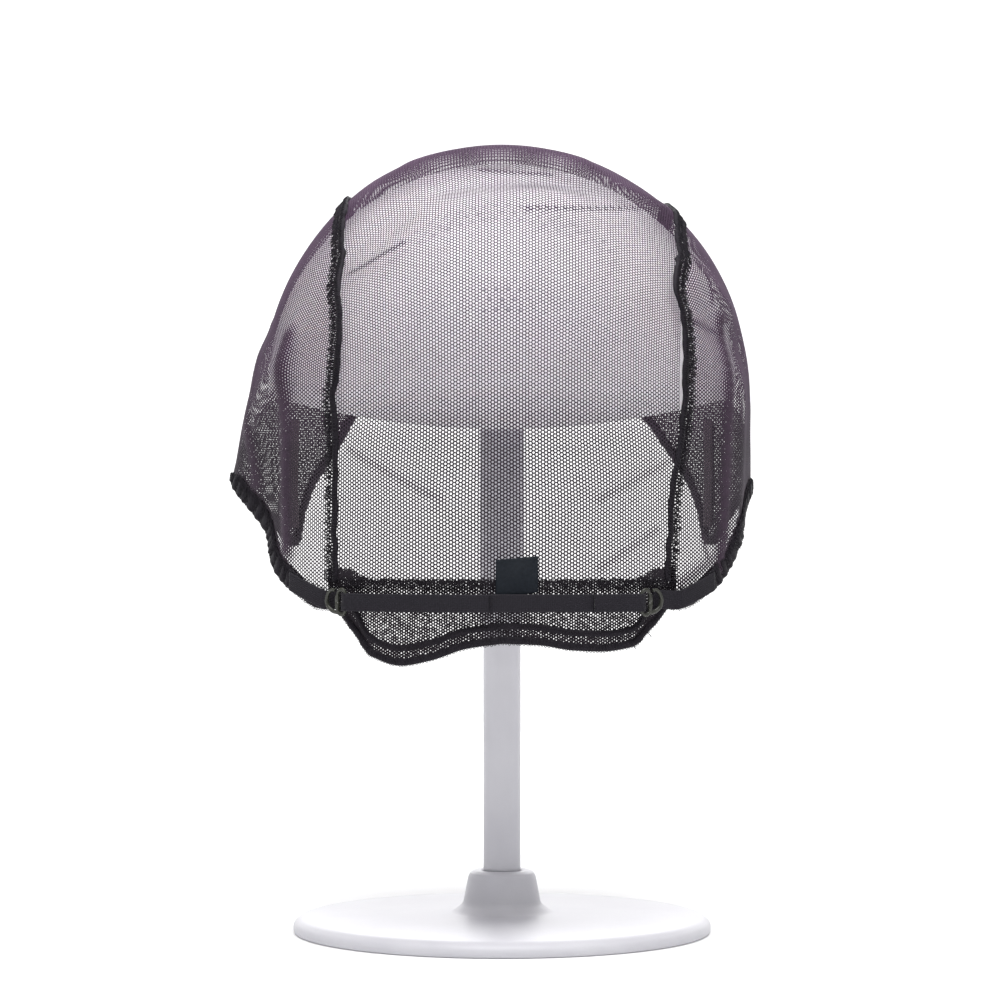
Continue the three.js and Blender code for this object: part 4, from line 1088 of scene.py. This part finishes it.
woven, _ = finish("woven_elastic", Specular_IOR_Level=0.12, Sheen_Weight=0.04, Sheen_Roughness=0.4)
cloth = Tone(woven.node_tree).node("ShaderNodeAttribute", {"attribute_name": "cloth"}, {}, 1)
picks = cloth.node(
    "ShaderNodeTexWave", {"bands_direction": "X"}, {0: cloth, "Scale": 420.0, "Distortion": 1.5}
)
fuzz = cloth.noise(1800, 2)
lay_on(
    woven,
    (picks * 0.15 + fuzz * 0.85).ramp((0.25, (0.010, 0.009, 0.012)), (0.8, (0.021, 0.019, 0.025))),
    0.55 + fuzz * 0.2,
    picks * 0.3 + fuzz,
    0.00006,
)

STRAP_SEAT = 1.45
HOOK_REACH = {"left": 55.9, "right": 49.0}
TAPE_GAP = {"left": 7.8, "right": 14.7}
TAPE_LENGTH = 18.4
TAPE_TAIL = {"left": 5.6, "right": 10.6}
TAPE_DROPS = (0.7863, 0.7212)  # its ends by the hook and by the ear, as shares of NAPE_DROP
dash = stitch_shape(
    "dash", [(-0.55, -0.2, 0), (-0.5, 0.5, 0.1), (0, 0.75, 0.1), (0.5, 0.5, 0.1), (0.55, -0.2, 0)], 0.16
)
for hand, side in (("left", -1), ("right", 1)):
    start = HOOK_REACH[hand] + TAPE_GAP[hand]
    share = np.linspace(0, 1, 30)
    along = side * (start + TAPE_LENGTH * share)
    drop = NAPE_DROP * (TAPE_DROPS[0] + (TAPE_DROPS[1] - TAPE_DROPS[0]) * share)
    tail = np.linspace(-TAPE_TAIL[hand], -1, 8)
    path = np.concatenate([start + tail, side * along]) * side
    low = np.concatenate([drop[0] + 0.05 * (tail + 1), drop])
    lift = STRAP_SEAT + 0.5 + 0.9 * np.clip((side * path - start + 1) / 2, 0, 1)
    tape = ringed(f"tape_{hand}", strip_rings(path, low, lift, ribbed_profile(6.4, 0.9, 9, 0.14)))
    tape.data.materials.append(woven)
    loop_turn, loop_drop = np.sort(along) / CAP_RADIUS, drop[np.argsort(along)] - 3.3
    loops = whipped(f"tape_loops_{hand}", loop_turn, loop_drop, dash, 1.35, 2.7, 91, 0.1)
    dress(joined(f"looped_tape_{hand}", [tape, loops]), woven, "elastic", f"loop_tape_{hand}")


# The strap between the two hooks.
# Six-millimetre black woven elastic, passed through each hook's slot, folded back on itself and
# sewn; the longer return ends just left of the middle.
STRAP_DROP = 74.1
STRAP_THICK = 1.0
HOOK_WIDTH = 5.2
HOOK_BAR = 1.4
strap_lift = STRAP_SEAT + STRAP_THICK / 2
bar_lift = STRAP_SEAT + STRAP_THICK + 1.5 * CLEARANCE + 0.6
fold_radius = bar_lift - strap_lift
doubled_lift = strap_lift + STRAP_THICK + CLEARANCE


def strap_fold(side, reach):
    """The strap's run and lift round a hook's inner bar and back over itself."""
    bar = reach - (HOOK_WIDTH - HOOK_BAR) / 2
    angle = np.linspace(0, pi, 9)
    run = [side * (bar + fold_radius * np.sin(t)) for t in angle]
    lift = [bar_lift - fold_radius * np.cos(t) for t in angle]
    run += [side * (bar - 2), side * (bar - 5.6)]
    lift += [bar_lift + fold_radius, doubled_lift]
    return run, lift


run, lift = (values[::-1] for values in strap_fold(-1, HOOK_REACH["left"]))
run = list(np.linspace(-4.3, run[0], 6)[:-1]) + run
lift = [doubled_lift] * 5 + lift
right_run, right_lift = strap_fold(1, HOOK_REACH["right"])
middle = np.linspace(run[-1], right_run[0], 14)[1:-1]
run += list(middle) + right_run + [right_run[-1] - 11]
lift += [strap_lift] * len(middle) + right_lift + [doubled_lift]
run, lift = np.array(run), np.array(lift)
length = np.concatenate([[0], np.cumsum(np.hypot(np.diff(run), np.diff(lift)))])
at = np.linspace(0, length[-1], 190)
run, lift = np.interp(at, length, run), np.interp(at, length, lift)
kernel = np.hanning(7) / np.hanning(7).sum()
run[3:-3], lift[3:-3] = np.convolve(run, kernel, "valid"), np.convolve(lift, kernel, "valid")
strap_drop = np.full(len(run), STRAP_DROP) + wave(len(run), 0.08, 95, 12)
strap = ringed("strap", strip_rings(run, strap_drop, lift, ribbed_profile(6, 0.95, 9, 0.12)))
dress(strap, woven, "elastic", "nape_strap")


# The two hooks of the strap.
# Small moulded hooks of smoky plastic, a flat ring with a slot for the strap and an arm that curls
# back like a swan's neck to catch in a loop of the tape.
HOOK_HEIGHT = 9.8
HOOK_SLOT_HEIGHT = 7.0
HOOK_ARM = ((0.16, -0.36), (0.38, -0.33), (0.6, -0.18), (0.68, 0.06), (0.6, 0.3), (0.44, 0.44), (0.3, 0.4))

smoke, place = finish("smoky_plastic", Specular_IOR_Level=0.4, Coat_Weight=0.15, Coat_Roughness=0.2)
flow = place.noise(420, 2)
lay_on(
    smoke,
    flow.ramp((0.3, (0.018, 0.019, 0.014)), (0.7, (0.034, 0.035, 0.028))),
    0.3 + flow * 0.15,
    flow,
    0.00008,
)


def bar_rings(path, halves, thickness):
    """Rings of a flat moulded bar in the plane of the hook, rounded on all edges."""
    path = np.asarray(path, float)
    ahead = np.gradient(path, axis=0)
    ahead /= np.linalg.norm(ahead, axis=1, keepdims=True)
    beside = np.stack([-ahead[:, 1], ahead[:, 0]], -1)
    turn = np.arange(12) * 2 * pi / 12
    flat = np.sign(np.cos(turn)) * np.abs(np.cos(turn)) ** 0.6
    high = np.sign(np.sin(turn)) * np.abs(np.sin(turn)) ** 0.6 * thickness / 2
    plane = path[:, None] + beside[:, None] * (flat[None, :, None] * np.asarray(halves)[:, None, None])
    return np.concatenate([plane, np.broadcast_to(high[None, :, None], (*plane.shape[:2], 1))], -1)


for hand, side in (("left", -1), ("right", 1)):
    azimuth = side * HOOK_REACH[hand] / CAP_RADIUS
    seat = cap_point(azimuth, STRAP_DROP, bar_lift)
    tangent = side * np.array([np.cos(azimuth), np.sin(azimuth), 0])
    outward = np.array([np.sin(azimuth), -np.cos(azimuth), 0])
    turn = np.linspace(0, 2 * pi, 49)
    outer = np.stack([HOOK_WIDTH / 2 * np.cos(turn), HOOK_HEIGHT / 2 * np.sin(turn)], -1)
    power = 0.45
    slot = np.stack(
        [
            (HOOK_WIDTH / 2 - HOOK_BAR) * np.sign(np.cos(turn)) * np.abs(np.cos(turn)) ** power,
            HOOK_SLOT_HEIGHT / 2 * np.sign(np.sin(turn)) * np.abs(np.sin(turn)) ** power,
        ],
        -1,
    )
    middle, halves = (outer + slot) / 2, np.linalg.norm(outer - slot, axis=1) / 2
    arm = np.array(HOOK_ARM) * HOOK_HEIGHT
    at = np.linspace(0, len(arm) - 1, 40)
    knots = np.arange(len(arm))
    arm = np.stack([np.interp(at, knots, arm[:, n]) for n in (0, 1)], -1)
    soft = np.hanning(9) / np.hanning(9).sum()
    for n in (0, 1):
        arm[4:-4, n] = np.convolve(arm[:, n], soft, "valid")
    parts = []
    for label, rings in (
        ("ring", bar_rings(middle, halves, 1.2)),
        ("arm", bar_rings(arm, np.linspace(0.7, 0.48, 40), 1.15)),
    ):
        world = seat + rings[..., :1] * tangent + rings[..., 1:2] * [0, 0, 1] + rings[..., 2:] * outward
        parts.append(ringed(f"hook_{label}_{hand}", world))
    dress(joined(f"hook_{hand}", parts), smoke, "hook_plastic", f"strap_hook_{hand}")


# The bare label at the nape.
# One piece of black satin ribbon folded in two, its ends caught under the upper edge of the strap;
# it carries no mark.
LABEL_CENTRE = 4.9
LABEL_WIDTH = 14.0
LABEL_HEIGHT = 12.2
LABEL_DROP = 59.0
LABEL_TILT = 0.09

satin, _ = finish(
    "black_satin", Specular_IOR_Level=0.06, Sheen_Weight=0.02, Sheen_Roughness=0.3, Anisotropic=0.5
)
cloth = Tone(satin.node_tree).node("ShaderNodeAttribute", {"attribute_name": "cloth"}, {}, 1)
picks = cloth.node(
    "ShaderNodeTexWave", {"bands_direction": "Y"}, {0: cloth, "Scale": 900.0, "Distortion": 0.6}
)
fuzz = cloth.noise(900, 2)
lay_on(
    satin,
    (picks * 0.3 + fuzz * 0.7).ramp((0.25, (0.007, 0.009, 0.012)), (0.8, (0.014, 0.017, 0.023))),
    0.36 + fuzz * 0.14,
    picks + fuzz * 0.5,
    0.00006,
)

path = [(LABEL_HEIGHT - 0.4 * n, 1.3 + 0.25 * np.sin(n / 26 * pi)) for n in range(29)]
path += [(0.55 - 0.5 * np.sin(t), 0.95 + 0.35 * np.cos(t)) for t in np.linspace(0.3, pi - 0.3, 7)]
path += [(1 + 0.4 * n, 0.6) for n in range(29)]
path = np.array(path)
shares = np.linspace(-1, 1, 22)
across = shares * LABEL_WIDTH / 2
down = path[:, :1] + 0.15 * np.sin(shares * 5)[None] * (path[:, :1] > 6)
lift = path[:, 1:] + 0.16 * np.sin(shares * 4 + 1)[None] * np.sin(path[:, :1] / 12 * pi)
ribbon_drop = LABEL_DROP - across[None] * LABEL_TILT + down
points = cap_point((LABEL_CENTRE + across)[None] / CAP_RADIUS, ribbon_drop, lift)
rows, columns = points.shape[:2]
row, column = np.divmod(np.arange((rows - 1) * (columns - 1)), columns - 1)
corner = row * columns + column
quads = np.stack([corner, corner + 1, corner + columns + 1, corner + columns], -1)
label = mesh_piece("label", points.reshape(-1, 3), quads)
layer = label.data.attributes.new("cloth", "FLOAT_VECTOR", "POINT")
length = np.concatenate([[0], np.cumsum(np.linalg.norm(np.diff(path, axis=0), axis=1))])
cloth_at = np.stack(np.broadcast_arrays(across[None], length[:, None], 0), -1) / 1000
layer.data.foreach_set("vector", cloth_at.astype(np.float32).ravel())
wall = label.modifiers.new("ribbon", "SOLIDIFY")
wall.thickness = 0.00025
wall.offset = 0
label = settled(label)
dress(label, satin, "satin", "label_tab")

for tool in (loop, wrap, whip, picot, zigzag, dash):
    bpy.data.objects.remove(tool)


# Studio, lights and camera.
# A white sweep under and behind the stand, a soft lamp above and one behind, a small lamp inside the
# dome, and a long lens straight at the nape, as in the photograph.
def sweep_floor():
    across = np.array([-6000, 6000])
    bend = [(2500 + 1500 * np.sin(t), 1500 - 1500 * np.cos(t)) for t in np.linspace(0, pi / 2, 16)]
    run = [(-4000, 0)] + bend + [(4000, 6000)]
    points = [(x, y, z) for y, z in run for x in across]
    n = np.arange(len(run) - 1) * 2
    quads = np.stack([n, n + 1, n + 3, n + 2], -1)
    return mesh_piece("floor", points, quads)


floor_piece = sweep_floor()
paper, place = finish("white_floor", Roughness=0.8, Emission_Color=(1, 1, 1, 1), Emission_Strength=1.0)
reach = place.node("ShaderNodeVectorMath", {"operation": "LENGTH"}, {0: place}, 1)
far = reach.node("ShaderNodeMapRange", {}, {0: reach, 1: 0.12, 2: 0.7})
glow = far.ramp((0, (0.05, 0.05, 0.05)), (1, (0.64, 0.64, 0.64)))
paper.node_tree.links.new(glow.socket, paper.node_tree.nodes["Principled BSDF"].inputs["Emission Color"])
lay_on(paper, place.noise(3).ramp((0, (0.88, 0.88, 0.885)), (1, (0.90, 0.90, 0.905))))
floor_piece.data.materials.append(paper)

world = bpy.data.worlds.new("studio")
world.use_nodes = True
sky = world.node_tree.nodes["Background"]
sky.inputs["Color"].default_value = (1, 1, 1, 1)
seen = Tone(world.node_tree).node("ShaderNodeLightPath", {}, {}, 0)
world.node_tree.links.new((seen * 0.55 + 0.45).socket, sky.inputs["Strength"])
bpy.context.scene.world = world
bpy.context.scene.view_settings.view_transform = "Standard"


def soft_light(name, place, turn, size, power):
    light = bpy.data.lights.new(name, "AREA")
    light.shape = "RECTANGLE"
    light.size, light.size_y = size
    light.energy = power
    lamp = bpy.data.objects.new(name, light)
    lamp.location = place
    lamp.rotation_euler = turn
    lamp.visible_camera = False
    bpy.context.scene.collection.objects.link(lamp)


soft_light("top", (0, -0.22, 0.72), (0.35, 0, 0), (0.5, 0.4), 7)
soft_light("back", (0, 0.9, 0.5), (-1.28, 0, 0), (1.0, 0.7), 4)

# the light that the translucent dome gathers from behind, which shows through its vent holes
glow = bpy.data.lights.new("dome_glow", "POINT")
glow.energy = 0.06
glow.shadow_soft_size = 0.02
lamp = bpy.data.objects.new("dome_glow", glow)
lamp.location = (0, 0.036, 0.226)
lamp.visible_camera = False
bpy.context.scene.collection.objects.link(lamp)

view = bpy.data.cameras.new("photo")
view.lens = 120
view.sensor_width = 36
camera = bpy.data.objects.new("photo", view)
camera.location = (-0.00072, -1.2, 0.155)
camera.rotation_euler = (pi / 2, 0, 0)
bpy.context.scene.collection.objects.link(camera)
bpy.context.scene.camera = camera
